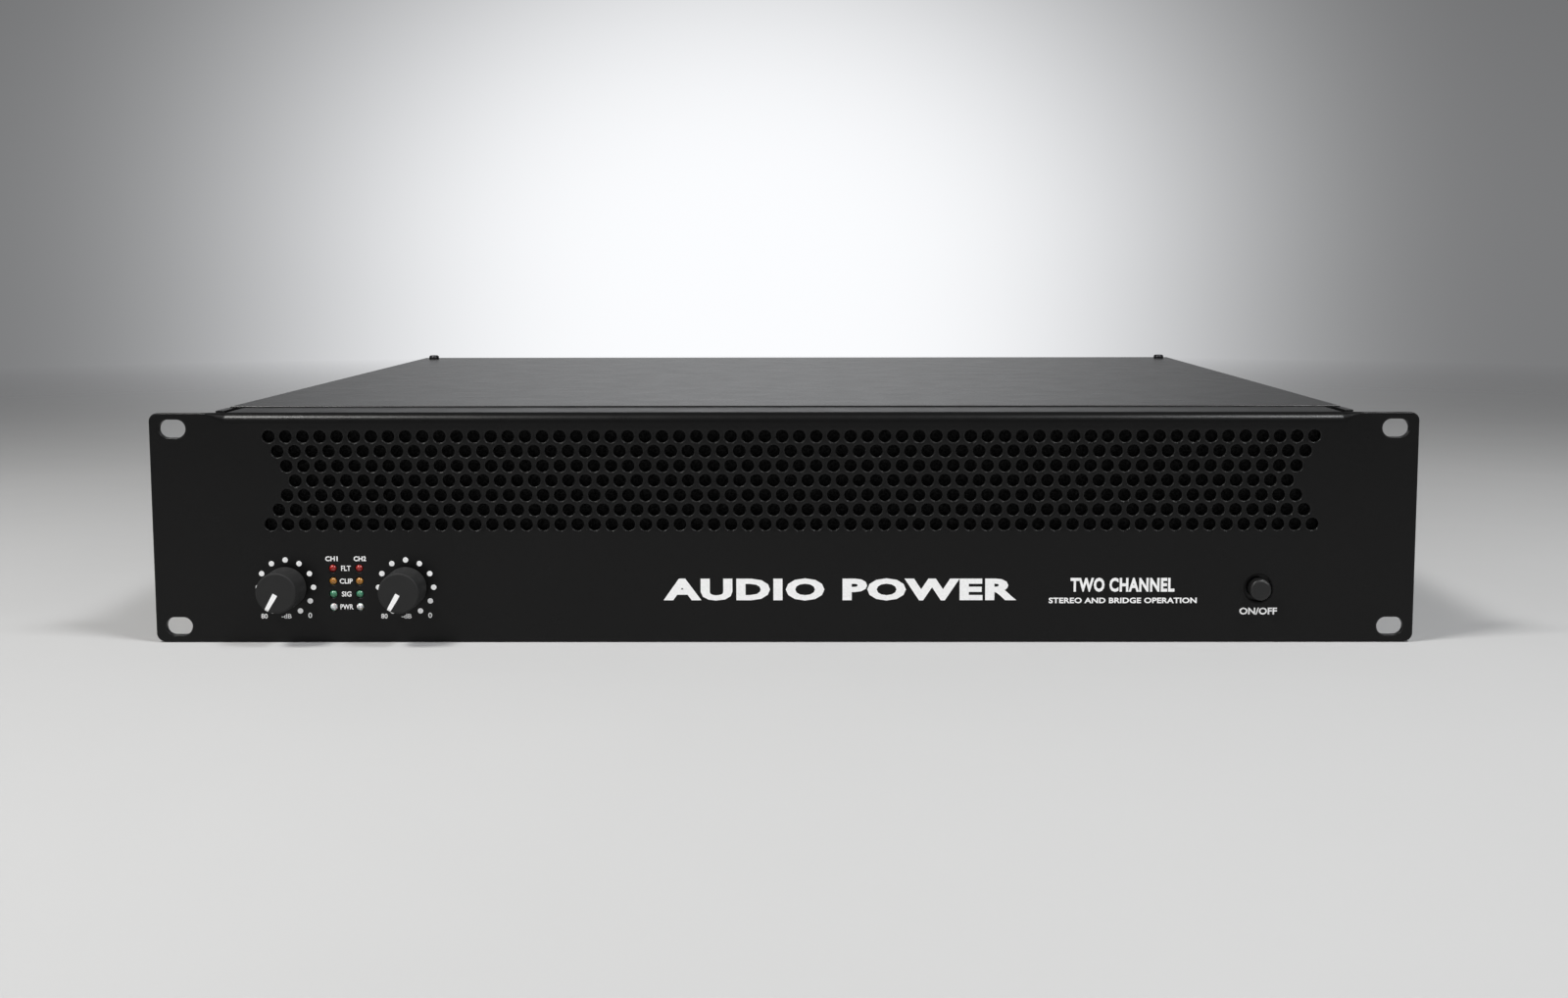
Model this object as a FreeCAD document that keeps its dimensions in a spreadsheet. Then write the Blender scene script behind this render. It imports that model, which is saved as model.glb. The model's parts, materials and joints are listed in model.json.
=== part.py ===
import FreeCAD, Part
import Sketcher
import math
import os

# A rack-mounted two-channel power amplifier, two units high.
#
# Frame: origin at the centre of the rack slots on the front panel's front face,
# X to the right as seen from the front, Y into the amplifier, Z up, millimetres.

Vector = FreeCAD.Vector
Rotation = FreeCAD.Rotation
Placement = FreeCAD.Placement

DIMENSIONS = {
    # front panel and rack slots
    "panel_width": 482.6,
    "panel_height": 88.1,
    "panel_thickness": 2.5,
    "panel_corner": 3.2,
    "flange_width": 425.0,
    "flange_depth": 28.0,
    "fold_radius": 3.8,
    "fold_runout": 7.0,
    "fold_runout_radius": 0.5,
    "slot_spacing_x": 465.1,
    "slot_spacing_z": 76.2,
    "slot_length": 10.3,
    "slot_radius": 3.5,
    # perforated grille
    "grille_x": 2.9,
    "grille_z": 18.2,
    "grille_pitch": 6.52,
    "grille_row_step": 5.62,
    "grille_hole_radius": 2.45,
    # front controls
    "knob_left_x": -191.0,
    "knob_right_x": -144.8,
    "knob_z": -23.0,
    "knob_base_radius": 8.0,
    "knob_face_radius": 7.75,
    "knob_skirt": 1.4,
    "knob_length": 13.4,
    "knob_edge": 0.7,
    "knob_gap": 0.6,
    "knob_face_wall": 1.8,
    "knob_recess_radius": 6.3,
    "knob_recess_depth": 3.0,
    "bushing_radius": 3.5,
    "bushing_proud": 2.6,
    "bushing_hole_radius": 3.6,
    "shaft_radius": 3.0,
    "shaft_clearance": 0.05,
    "shaft_seat": 5.0,
    "shaft_end_gap": 0.3,
    "pot_radius": 8.0,
    "pot_depth": 8.0,
    "pot_front": 9.0,
    "pot_nut_across_flats": 10.0,
    "pot_nut_height": 2.2,
    "level_board_margin": 12.0,
    "level_board_low_z": -39.0,
    "level_board_height": 31.0,
    "led_left_x": -172.8,
    "led_right_x": -162.7,
    "led_top_z": -15.6,
    "led_step": 5.0,
    "led_radius": 1.5,
    "led_hole_radius": 1.6,
    "led_proud": 0.6,
    "led_back": 4.2,
    "led_rim": 0.4,
    "led_rim_depth": 1.0,
    "led_leg_radius": 0.25,
    "led_leg_offset": 0.8,
    "led_leg_front": 4.0,
    "led_leg_length": 13.0,
    "button_x": 182.0,
    "button_z": -23.6,
    "button_radius": 4.0,
    "button_hole_radius": 5.3,
    "button_proud": 4.3,
    "button_chamfer": 0.9,
    "button_chamfer_depth": 0.5,
    "button_edge": 0.4,
    "button_collar": 2.4,
    "button_collar_front": 3.1,
    "button_collar_back": 4.4,
    "button_stem_radius": 2.0,
    "button_stem_gap": 0.06,
    "button_stem_seat": 8.0,
    "button_travel": 3.0,
    "spring_gap": 0.5,
    "switch_front": 13.0,
    "switch_size": 16.0,
    "switch_depth": 24.0,
    "switch_plate_width": 32.0,
    "switch_plate_depth": 2.0,
    "switch_plate_height": 14.0,
    "switch_post_radius": 2.5,
    "switch_post_offset": 12.5,
    "switch_bore_depth": 9.5,
    # casing
    "body_width": 440.0,
    "body_depth": 400.0,
    "metal": 1.5,
    "fit_gap": 0.2,
    "cover_top": 44.5,
    "cover_gap": 0.8,
    "cover_flange": 13.0,
    "bend_radius": 2.0,
    "front_strip": 13.0,
    "front_sill": 9.0,
    "front_relief": 4.0,
    "rear_strip": 11.0,
    "rear_relief": 2.5,
    "rear_return": 15.0,
    "return_end_gap": 0.5,
    "cheek_front": 13.5,
    "cheek_gap": 0.4,
    "cheek_drop": 0.6,
    "cheek_lift": 3.0,
    "spacer_radius": 3.0,
    "spacer_height": 6.0,
    "filter_width": 402.0,
    "filter_height": 44.0,
    "filter_thickness": 6.0,
    "filter_low_z": -4.0,
    "filter_gap": 0.5,
    # fasteners
    "overrun": 1.0,
    "thread_gap": 0.02,
    "screw_radius": 1.5,
    "screw_hole_radius": 1.65,
    "screw_head_radius": 2.8,
    "screw_head_height": 1.9,
    "screw_length": 6.0,
    "sink_gap": 0.3,
    "floor_screw_length": 5.0,
    "fan_screw_radius": 1.9,
    "fan_screw_head_radius": 3.6,
    "fan_screw_head_height": 2.4,
    "fan_screw_length": 11.0,
    "stud_radius": 2.0,
    "stud_gap": 0.2,
    "stud_length": 7.5,
    "nut_height": 3.2,
    "nut_across_flats": 7.0,
    "side_screw_z": 37.0,
    "top_screw_x": 212.0,
    "top_screw_y": 391.0,
    # transformer
    "toroid_y": 120.0,
    "toroid_radius": 75.0,
    "toroid_bore_radius": 22.0,
    "toroid_height": 60.0,
    "toroid_edge": 9.0,
    "core_radius": 62.0,
    "core_bore_radius": 34.0,
    "core_height": 44.0,
    "core_wrap": 0.5,
    "pad_thickness": 2.0,
    "pad_radius": 61.0,
    "pad_bore_radius": 6.0,
    "clamp_radius": 54.0,
    "clamp_thickness": 2.0,
    "toroid_bolt_radius": 4.0,
    "toroid_bolt_gap": 0.3,
    "toroid_bolt_end": 12.0,
    "toroid_nut_across_flats": 13.0,
    "toroid_nut_height": 6.5,
    # cooling
    "fan_x": 158.0,
    "fan_size": 80.0,
    "fan_depth": 25.0,
    "fan_corner": 3.0,
    "fan_bore_radius": 38.0,
    "fan_hub_radius": 17.0,
    "fan_blade_radius": 36.6,
    "fan_mount_depth": 3.2,
    "fan_arm_depth": 2.2,
    "fan_arm_width": 2.8,
    "fan_bearing_radius": 1.56,
    "fan_bearing_depth": 5.0,
    "fan_shaft_radius": 1.5,
    "fan_screw_spacing": 71.5,
    "fan_screw_hole_radius": 2.15,
    "guard_wire_radius": 0.8,
    "guard_eye_radius": 3.2,
    "guard_ring_lift": 1.7,
    "sink_width": 92.0,
    "sink_length": 205.0,
    "sink_y": 140.0,
    "sink_base": 6.0,
    "sink_top_z": -2.0,
    "sink_wall": 3.0,
    "sink_foot_width": 10.0,
    "sink_foot_height": 2.5,
    "sink_fin": 2.0,
    "sink_fin_gap": 4.0,
    "sink_fin_pitch": 9.0,
    "sink_screw_inset": 5.0,
    # boards
    "board_thickness": 1.6,
    "power_board_width": 150.0,
    "power_board_length": 150.0,
    "power_board_y": 214.0,
    "power_board_inset": 8.0,
    "capacitor_radius": 17.5,
    "capacitor_height": 50.0,
    "capacitor_edge": 1.5,
    "rectifier_y": 318.0,
    "rectifier_size": 28.0,
    "rectifier_height": 10.0,
    "transistor_width": 16.0,
    "transistor_length": 20.0,
    "transistor_height": 5.0,
    "amp_board_width": 86.0,
    "amp_board_length": 196.0,
    "amp_board_z": 10.0,
    "amp_board_start": 4.0,
    "amp_part_z": 11.0,
    "input_board_x": -104.0,
    "input_board_y": 370.0,
    "input_board_width": 118.0,
    "input_board_height": 76.0,
    # rear connectors
    "inlet_x": 84.0,
    "inlet_z": -19.0,
    "inlet_flange_width": 50.0,
    "inlet_flange_depth": 3.0,
    "inlet_flange_height": 27.0,
    "inlet_case_width": 27.8,
    "inlet_case_height": 19.8,
    "inlet_case_depth": 22.0,
    "inlet_cavity_width": 24.4,
    "inlet_cavity_height": 16.4,
    "inlet_cavity_depth": 17.0,
    "inlet_screw_x": 20.0,
    "inlet_pin_width": 2.0,
    "inlet_pin_height": 4.0,
    "breaker_x": 84.0,
    "breaker_z": 19.0,
    "breaker_neck_radius": 5.5,
    "breaker_hole_radius": 5.7,
    "breaker_bore_radius": 3.3,
    "breaker_button_radius": 3.0,
    "breaker_nut_across_flats": 14.0,
    "breaker_nut_height": 2.6,
    "speaker_x": 36.0,
    "input_x": -52.0,
    "jack_x": -88.0,
    "jack_hole_radius": 4.8,
    "jack_neck_radius": 4.7,
    "jack_bore_radius": 3.25,
    "jack_nut_across_flats": 12.0,
    "jack_nut_height": 2.4,
    "jack_washer_radius": 7.2,
    "channel_z": 19.0,
    "socket_width": 26.0,
    "socket_height": 31.0,
    "socket_flange": 2.2,
    "socket_corner": 3.0,
    "socket_body_radius": 12.0,
    "socket_screw_x": 9.5,
    "socket_screw_z": 12.0,
    "speaker_depth": 24.0,
    "speaker_cup_radius": 11.0,
    "speaker_cup_depth": 21.0,
    "speaker_core_radius": 6.0,
    "speaker_core_length": 21.5,
    "speaker_core_bore_radius": 2.2,
    "input_depth": 22.0,
    "input_cup_radius": 9.7,
    "input_cup_depth": 20.0,
    "input_insert_radius": 7.6,
    "input_contact_radius": 1.3,
    "latch_z": 12.5,
    "latch_width": 7.8,
    "latch_height": 2.4,
    "latch_length": 4.1,
    "latch_front": 0.4,
    "latch_gap": 0.3,
    "mode_x": -10.0,
    "mode_travel": 5.0,
    "mode_window_width": 10.4,
    "mode_window_height": 4.8,
    "mode_tab_width": 4.6,
    "mode_tab_height": 4.0,
}

CELL_FORMAT = "B{row}"
GRILLE_ROWS_EACH_SIDE = 3
GRILLE_MIDDLE_COUNT = 59
LED_ROWS = ("red", "amber", "green", "white")
SIDE_SCREW_Y = (60.0, 170.0, 280.0, 385.0)
REAR_SCREW_Z = (-30.0, 0.0, 30.0)
FRONT_STUDS = ((211.5, 24.0), (-211.5, 24.0), (211.5, -6.0), (-211.5, -6.0),
               (0.0, -38.0), (95.0, -38.0), (-95.0, -38.0))
SINK_SCREW_Y = (160.0, 325.0)
SINK_FIN_COUNT = 9
REAR_FOOT_X = (-108.0, -36.0, 36.0, 108.0)
CAPACITOR_X = (-46.0, 0.0, 46.0)
CAPACITOR_Y = (240.0, 280.0)
RECTIFIER_X = (-50.0, 22.0)
TRANSISTOR_ROWS = 5
TRANSISTOR_COLUMN = 24.0
GUARD_RING_RADII = (10.0, 17.0, 24.0, 31.0, 38.0)
FOUR_CORNERS = ((-1, -1), (-1, 1), (1, -1), (1, 1))
INLET_PINS = ((-7.0, -1.5), (0.0, 2.2), (7.0, -1.5))
INPUT_CONTACTS = ((-3.8, 1.4), (3.8, 1.4), (0.0, -3.6))
CHANNELS = ((1, 1), (2, -1))
BACKWARDS = Vector(0, 1, 0)
AXIS_TURNS = {
    "x": Rotation(Vector(0, 1, 0), 90),
    "y": Rotation(Vector(1, 0, 0), -90),
    "z": Rotation(),
}

doc = FreeCAD.newDocument("PowerAmplifier")
sheet = doc.addObject("Spreadsheet::Sheet", "dims")
nodes = []


# ---------------------------------------------------------------- helpers

def fill_sheet():
    for row, (alias, value) in enumerate(DIMENSIONS.items(), start=1):
        cell = CELL_FORMAT.format(row=row)
        sheet.set(f"A{row}", alias)
        sheet.set(cell, str(value))
        sheet.setAlias(cell, alias)
    doc.recompute()


def size(alias):
    return float(sheet.get(alias))


def keep(piece, label):
    """Mark a finished sub-part: its label names the exported file."""
    piece.Label = label
    nodes.append(piece)
    return piece


def bind(piece, path, expression):
    piece.setExpression(path, str(expression))


def place(piece, x, y, z):
    bind(piece, "Placement.Base.x", x)
    bind(piece, "Placement.Base.y", y)
    bind(piece, "Placement.Base.z", z)


def box(name, corner, lengths):
    """A block from its low corner; every entry is a number or an expression."""
    block = doc.addObject("Part::Box", name)
    bind(block, "Length", lengths[0])
    bind(block, "Width", lengths[1])
    bind(block, "Height", lengths[2])
    place(block, *corner)
    return block


def centred_box(name, x, z, y_front, width, depth, height):
    """A block centred on (x, z) that runs back from y_front."""
    corner = (f"({x}) - ({width}) / 2", y_front, f"({z}) - ({height}) / 2")
    return box(name, corner, (width, depth, height))


def cylinder(name, base, axis, radius, height):
    rod = doc.addObject("Part::Cylinder", name)
    rod.Placement = Placement(Vector(), AXIS_TURNS[axis])
    bind(rod, "Radius", radius)
    bind(rod, "Height", height)
    place(rod, *base)
    return rod


def cone(name, base, axis, radius_low, radius_high, height):
    frustum = doc.addObject("Part::Cone", name)
    frustum.Placement = Placement(Vector(), AXIS_TURNS[axis])
    bind(frustum, "Radius1", radius_low)
    bind(frustum, "Radius2", radius_high)
    bind(frustum, "Height", height)
    place(frustum, *base)
    return frustum


def torus(name, centre, axis, ring_radius, wire_radius):
    ring = doc.addObject("Part::Torus", name)
    ring.Placement = Placement(Vector(), AXIS_TURNS[axis])
    bind(ring, "Radius1", ring_radius)
    bind(ring, "Radius2", wire_radius)
    place(ring, *centre)
    return ring


def prism(name, base, axis, sides, circumradius, height):
    bar = doc.addObject("Part::Prism", name)
    bar.Polygon = sides
    bar.Placement = Placement(Vector(), AXIS_TURNS[axis])
    bind(bar, "Circumradius", circumradius)
    bind(bar, "Height", height)
    place(bar, *base)
    return bar


def washer(name, base, outer_radius, bore_radius, height):
    """A flat ring that stands along Z on its base point."""
    x, y, z = base
    outer = cylinder(f"{name}_outer", base, "z", outer_radius, height)
    bore = cylinder(f"{name}_bore", (x, y, f"{z} - dims.overrun"), "z", bore_radius,
                    f"{height} + 2 * dims.overrun")
    return cut(name, outer, [bore])


def hexagon(name, base, axis, across_flats, height):
    return prism(name, base, axis, 6, f"{across_flats} / 2 / cos(30)", height)


def fuse(name, shapes):
    joined = doc.addObject("Part::MultiFuse", name)
    joined.Shapes = shapes
    joined.Refine = True
    return joined


def cut(name, base, tools):
    """Base less every tool."""
    tool = tools[0] if len(tools) == 1 else fuse(name + "_tools", tools)
    result = doc.addObject("Part::Cut", name)
    result.Base = base
    result.Tool = tool
    return result


def compound(name, members):
    gathered = doc.addObject("Part::Compound", name)
    gathered.Links = members
    return gathered


def copies(name, source, placements):
    """Separate solids: one link to the source shape at each placement."""
    members = []
    for number, placement in enumerate(placements, start=1):
        link = doc.addObject("App::Link", f"{name}_{number}")
        link.LinkedObject = source
        link.Placement = placement
        members.append(link)
    return compound(name, members)


def round_edges(name, base, radius, wanted):
    """Part fillet of the edges that the test `wanted` picks."""
    doc.recompute()
    rounded = doc.addObject("Part::Fillet", name)
    rounded.Base = base
    edges = []
    for number, edge in enumerate(base.Shape.Edges, start=1):
        if wanted(edge):
            edges.append((number, radius, radius))
    rounded.Edges = edges
    return rounded


def near(value, wanted):
    return abs(value - wanted) < 0.01


def along(edge, axis):
    """True for a straight edge parallel to the axis."""
    if edge.Curve.TypeId != "Part::GeomLine":
        return False
    return abs(abs(edge.Curve.Direction.dot(axis)) - 1.0) < 1e-6


def new_body(name):
    return doc.addObject("PartDesign::Body", name)


def origin_plane(body, role):
    for feature in body.Origin.OriginFeatures:
        if feature.Role == role:
            return feature
    raise ValueError(role)


def new_sketch(body, name, role, offset=0):
    """A sketch on an origin plane, moved along the plane's normal."""
    sketch = body.newObject("Sketcher::SketchObject", name)
    sketch.AttachmentSupport = [(origin_plane(body, role), "")]
    sketch.MapMode = "FlatFace"
    bind(sketch, "AttachmentOffset.Base.z", offset)
    return sketch


def constrain(sketch, expression, kind, *where, start=1.0):
    """A dimension whose value is an expression over the sheet; start is its first value."""
    index = sketch.addConstraint(Sketcher.Constraint(kind, *where, start))
    bind(sketch, f"Constraints[{index}]", expression)


def add_polygon(sketch, corners):
    """A closed run of lines through corners given as pairs of expressions."""
    first = sketch.GeometryCount
    count = len(corners)
    turn = 2 * math.pi / count
    starts = [Vector(math.cos(k * turn), math.sin(k * turn), 0) for k in range(count)]
    for k in range(count):
        sketch.addGeometry(Part.LineSegment(starts[k], starts[(k + 1) % count]))
    for k in range(count):
        following = first + (k + 1) % count
        sketch.addConstraint(Sketcher.Constraint("Coincident", first + k, 2, following, 1))
    for k, (across, up) in enumerate(corners):
        constrain(sketch, across, "DistanceX", -1, 1, first + k, 1)
        constrain(sketch, up, "DistanceY", -1, 1, first + k, 1)


def add_rectangle(sketch, left, low, width, height):
    right = f"({left}) + ({width})"
    top = f"({low}) + ({height})"
    add_polygon(sketch, [(left, low), (right, low), (right, top), (left, top)])


def add_circle(sketch, across, up, radius):
    index = sketch.addGeometry(Part.Circle(Vector(), Vector(0, 0, 1), 1.0))
    constrain(sketch, across, "DistanceX", -1, 1, index, 3)
    constrain(sketch, up, "DistanceY", -1, 1, index, 3)
    constrain(sketch, radius, "Radius", index)


def pad(body, sketch, length, towards_back=True, symmetric=False):
    feature = body.newObject("PartDesign::Pad", sketch.Name + "_pad")
    feature.Profile = sketch
    feature.SideType = "Symmetric" if symmetric else "One side"
    feature.Reversed = towards_back and not symmetric
    bind(feature, "Length", length)
    return feature


def pocket(body, sketch, symmetric_length=None):
    """Cut right through from the sketch plane, both ways."""
    feature = body.newObject("PartDesign::Pocket", sketch.Name + "_pocket")
    feature.Profile = sketch
    feature.SideType = "Symmetric"
    if symmetric_length is None:
        feature.Type = "ThroughAll"
    else:
        bind(feature, "Length", symmetric_length)
    return feature


def fillet(body, radius, wanted):
    doc.recompute()
    base = body.Tip
    names = []
    for number, edge in enumerate(base.Shape.Edges, start=1):
        if wanted(edge):
            names.append(f"Edge{number}")
    feature = body.newObject("PartDesign::Fillet", body.Name + "_fillet")
    feature.Base = (base, names)
    bind(feature, "Radius", radius)
    return feature


def revolve(body, sketch, angle=360.0):
    """Turn a sketch about its own vertical axis."""
    feature = body.newObject("PartDesign::Revolution", sketch.Name + "_turned")
    feature.Profile = sketch
    feature.ReferenceAxis = (sketch, ["V_Axis"])
    feature.Angle = angle
    return feature


# ---------------------------------------------------------------- casing

def add_corner_section(body, name, offset, radius):
    """The waste outside the panel's rounded top fold, as a section across X."""
    sketch = new_sketch(body, name, "YZ_Plane", offset)
    fold = size(radius.replace("dims.", ""))
    top = size("panel_height") / 2
    start = Vector(fold, top, 0)
    centre = Vector(fold, top - fold, 0)
    end = Vector(0, top - fold, 0)
    arc = Part.ArcOfCircle(Part.Circle(centre, Vector(0, 0, 1), fold), math.pi / 2, math.pi)
    path = [end, Vector(-1, top - fold, 0), Vector(-1, top + 1, 0), Vector(fold, top + 1, 0), start]
    for low, high in zip(path, path[1:]):
        sketch.addGeometry(Part.LineSegment(low, high))
    sketch.addGeometry(arc)
    for k in range(3):
        sketch.addConstraint(Sketcher.Constraint("Coincident", k, 2, k + 1, 1))
    sketch.addConstraint(Sketcher.Constraint("Coincident", 3, 2, 4, 1))
    sketch.addConstraint(Sketcher.Constraint("Coincident", 4, 2, 0, 1))
    half = "dims.panel_height / 2"
    places = [("0", f"{half} - {radius}"), ("-1", f"{half} - {radius}"),
              ("-1", f"{half} + 1"), (radius, f"{half} + 1")]
    for k, (across, up) in enumerate(places):
        constrain(sketch, across, "DistanceX", -1, 1, k, 1, start=path[k].x)
        constrain(sketch, up, "DistanceY", -1, 1, k, 1, start=path[k].y)
    constrain(sketch, radius, "DistanceX", -1, 1, 3, 2, start=fold)
    constrain(sketch, half, "DistanceY", -1, 1, 3, 2, start=top)
    constrain(sketch, radius, "Radius", 4, start=fold)
    return sketch


def front_panel():
    body = new_body("front_panel")
    half = "dims.panel_height / 2"
    plate = new_sketch(body, "panel_plate", "XZ_Plane")
    add_rectangle(plate, "-dims.panel_width / 2", f"-{half}", "dims.panel_width", "dims.panel_height")
    pad(body, plate, "dims.panel_thickness")

    flange = new_sketch(body, "panel_flange", "YZ_Plane")
    add_rectangle(flange, 1, f"{half} - dims.panel_thickness", "dims.flange_depth - 1", "dims.panel_thickness")
    pad(body, flange, "dims.flange_width", symmetric=True)

    studs = new_sketch(body, "panel_studs", "XZ_Plane")
    for x, z in FRONT_STUDS:
        add_circle(studs, x, z, "dims.stud_radius")
    pad(body, studs, "dims.panel_thickness + dims.stud_length")

    corner = Vector(0, 1, 0)
    panel_end = size("panel_width") / 2
    fillet(body, "dims.panel_corner",
           lambda edge: along(edge, corner) and abs(edge.CenterOfMass.x) > panel_end - 0.1)

    fold = add_corner_section(body, "panel_fold", 0, "dims.fold_radius")
    pocket(body, fold, "dims.flange_width")
    for side, word in ((-1, "left"), (1, "right")):
        wide = add_corner_section(body, f"fold_{word}_wide",
                                  f"{side} * dims.flange_width / 2", "dims.fold_radius")
        narrow = add_corner_section(body, f"fold_{word}_narrow",
                                    f"{side} * (dims.flange_width / 2 + dims.fold_runout)",
                                    "dims.fold_runout_radius")
        runout = body.newObject("PartDesign::SubtractiveLoft", f"fold_{word}_runout")
        runout.Profile = wide
        runout.Sections = [narrow]
        runout.Ruled = True

    slots = new_sketch(body, "rack_slots", "XZ_Plane")
    slot_ends = new_sketch(body, "rack_slot_ends", "XZ_Plane")
    straight = "(dims.slot_length - 2 * dims.slot_radius)"
    for side in (-1, 1):
        for level in (-1, 1):
            x = f"{side} * dims.slot_spacing_x / 2"
            z = f"{level} * dims.slot_spacing_z / 2"
            add_rectangle(slots, f"{x} - {straight} / 2", f"{z} - dims.slot_radius",
                          straight, "2 * dims.slot_radius")
            add_circle(slot_ends, f"{x} - {straight} / 2", z, "dims.slot_radius")
    pocket(body, slots)
    ends = pocket(body, slot_ends)
    other_ends = body.newObject("PartDesign::LinearPattern", "rack_slot_far_ends")
    other_ends.Originals = [ends]
    other_ends.Direction = (slot_ends, ["H_Axis"])
    bind(other_ends, "Length", straight)
    other_ends.Occurrences = 2
    body.Tip = other_ends

    controls = new_sketch(body, "control_holes", "XZ_Plane")
    for knob_x in ("dims.knob_left_x", "dims.knob_right_x"):
        add_circle(controls, knob_x, "dims.knob_z", "dims.bushing_hole_radius")
    for led_x in ("dims.led_left_x", "dims.led_right_x"):
        for row in range(4):
            add_circle(controls, led_x, f"dims.led_top_z - {row} * dims.led_step", "dims.led_hole_radius")
    add_circle(controls, "dims.button_x", "dims.button_z", "dims.button_hole_radius")
    pocket(body, controls)

    for row in range(-GRILLE_ROWS_EACH_SIDE, GRILLE_ROWS_EACH_SIDE + 1):
        add_grille_row(body, row)
    return keep(body, "front_panel")


def add_grille_row(body, row):
    """One row of round holes; each row away from the middle has one more hole."""
    count = GRILLE_MIDDLE_COUNT + abs(row)
    number = row + GRILLE_ROWS_EACH_SIDE + 1
    sketch = new_sketch(body, f"grille_row_{number}", "XZ_Plane")
    add_circle(sketch, f"dims.grille_x - {count - 1} * dims.grille_pitch / 2",
               f"dims.grille_z + {row} * dims.grille_row_step", "dims.grille_hole_radius")
    hole = pocket(body, sketch, "3 * dims.panel_thickness")
    pattern = body.newObject("PartDesign::LinearPattern", f"grille_pattern_{number}")
    pattern.Originals = [hole]
    pattern.Direction = (sketch, ["H_Axis"])
    bind(pattern, "Length", f"{count - 1} * dims.grille_pitch")
    pattern.Occurrences = count
    body.Tip = pattern


def chassis_tray():
    body = new_body("tray")
    outer = "(dims.body_width / 2 - dims.metal - dims.fit_gap)"
    floor = "(-dims.panel_height / 2)"
    top = "(dims.cover_top - dims.metal - dims.fit_gap)"
    front = "dims.panel_thickness"
    rear = "(dims.body_depth - dims.metal)"
    sheet_metal = "dims.metal"

    channel = new_sketch(body, "tray_channel", "XZ_Plane", f"-{front}")
    inner = f"({outer} - {sheet_metal})"
    inside_floor = f"({floor} + {sheet_metal})"
    add_polygon(channel, [(f"-{outer}", floor), (outer, floor), (outer, top), (inner, top),
                          (inner, inside_floor), (f"-{inner}", inside_floor),
                          (f"-{inner}", top), (f"-{outer}", top)])
    pad(body, channel, f"{rear} - {front}")

    frame = new_sketch(body, "tray_front_frame", "XZ_Plane", f"-{front}")
    opening = f"({outer} - dims.front_strip)"
    sill = f"({floor} + dims.front_sill + {sheet_metal})"
    frame_top = f"({top} - dims.front_relief)"
    add_polygon(frame, [(f"-{outer}", floor), (outer, floor), (outer, frame_top), (opening, frame_top),
                        (opening, sill), (f"-{opening}", sill),
                        (f"-{opening}", frame_top), (f"-{outer}", frame_top)])
    pad(body, frame, sheet_metal)

    strips = new_sketch(body, "tray_rear_strips", "XZ_Plane", f"-({rear} - {sheet_metal})")
    for left in (f"-{outer}", f"{outer} - dims.rear_strip"):
        add_rectangle(strips, left, floor, "dims.rear_strip", f"{top} - dims.rear_relief - {floor}")
    pad(body, strips, sheet_metal)

    studs = new_sketch(body, "tray_stud_holes", "XZ_Plane", f"-{front}")
    for x, z in FRONT_STUDS:
        add_circle(studs, x, z, "dims.stud_radius + dims.stud_gap")
    pocket(body, studs, "6 * dims.metal")

    rear_holes = new_sketch(body, "tray_rear_holes", "XZ_Plane", f"-{rear}")
    for side in (-1, 1):
        for z in REAR_SCREW_Z:
            add_circle(rear_holes, f"{side} * ({outer} - dims.rear_strip / 2)", z, "dims.screw_hole_radius")
    pocket(body, rear_holes, "6 * dims.metal")

    side_holes = new_sketch(body, "tray_side_holes", "YZ_Plane")
    for y in SIDE_SCREW_Y:
        add_circle(side_holes, y, "dims.side_screw_z", "dims.screw_hole_radius")
    pocket(body, side_holes)

    low = -size("panel_height") / 2
    half_depth = size("body_depth") / 2
    fillet(body, "dims.bend_radius",
           lambda edge: along(edge, BACKWARDS) and near(edge.CenterOfMass.z, low)
           and edge.Length > half_depth)

    cheek_foot = f"({floor} + dims.cheek_lift)"
    cheeks = new_sketch(body, "tray_cheeks", "XY_Plane", cheek_foot)
    cheek_width = f"dims.body_width / 2 - {inner}"
    cheek_length = "dims.flange_depth + dims.cover_gap - dims.cheek_gap - dims.cheek_front"
    for left in ("-dims.body_width / 2", inner):
        add_rectangle(cheeks, left, "dims.cheek_front", cheek_width, cheek_length)
    pad(body, cheeks, f"dims.cover_top - dims.cheek_drop - {cheek_foot}", towards_back=False)

    spacers = new_sketch(body, "tray_spacers", "XY_Plane", floor)
    for x, y in power_board_corners():
        add_circle(spacers, x, y, "dims.spacer_radius")
    pad(body, spacers, "dims.metal + dims.spacer_height", towards_back=False)

    openings = []
    sliver = 0.01
    for number, (x, y) in enumerate(floor_screw_places(), start=1):
        openings.append(cone(f"floor_sink_{number}", (x, y, f"{floor} - {sliver}"), "z",
                             "dims.screw_head_radius + dims.sink_gap", "dims.screw_hole_radius",
                             f"dims.metal + 2 * {sliver}"))
    openings.append(cylinder("toroid_bolt_hole", (0, "dims.toroid_y", f"{floor} - dims.overrun"), "z",
                             "dims.toroid_bolt_radius + dims.fit_gap", "dims.metal + 2 * dims.overrun"))
    return keep(cut("chassis_tray", body, openings), "chassis_tray")


def power_board_corners():
    inset = size("power_board_inset")
    half = size("power_board_width") / 2 - inset
    first = size("power_board_y") + inset
    last = size("power_board_y") + size("power_board_length") - inset
    return [(-half, first), (half, first), (-half, last), (half, last)]


def floor_screw_places():
    foot = size("sink_width") / 2 - size("sink_screw_inset")
    places = []
    for side in (-1, 1):
        for lateral in (-foot, foot):
            for y in SINK_SCREW_Y:
                places.append((side * size("fan_x") + lateral, y))
    for x in REAR_FOOT_X:
        places.append((x, size("top_screw_y")))
    return places


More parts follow.
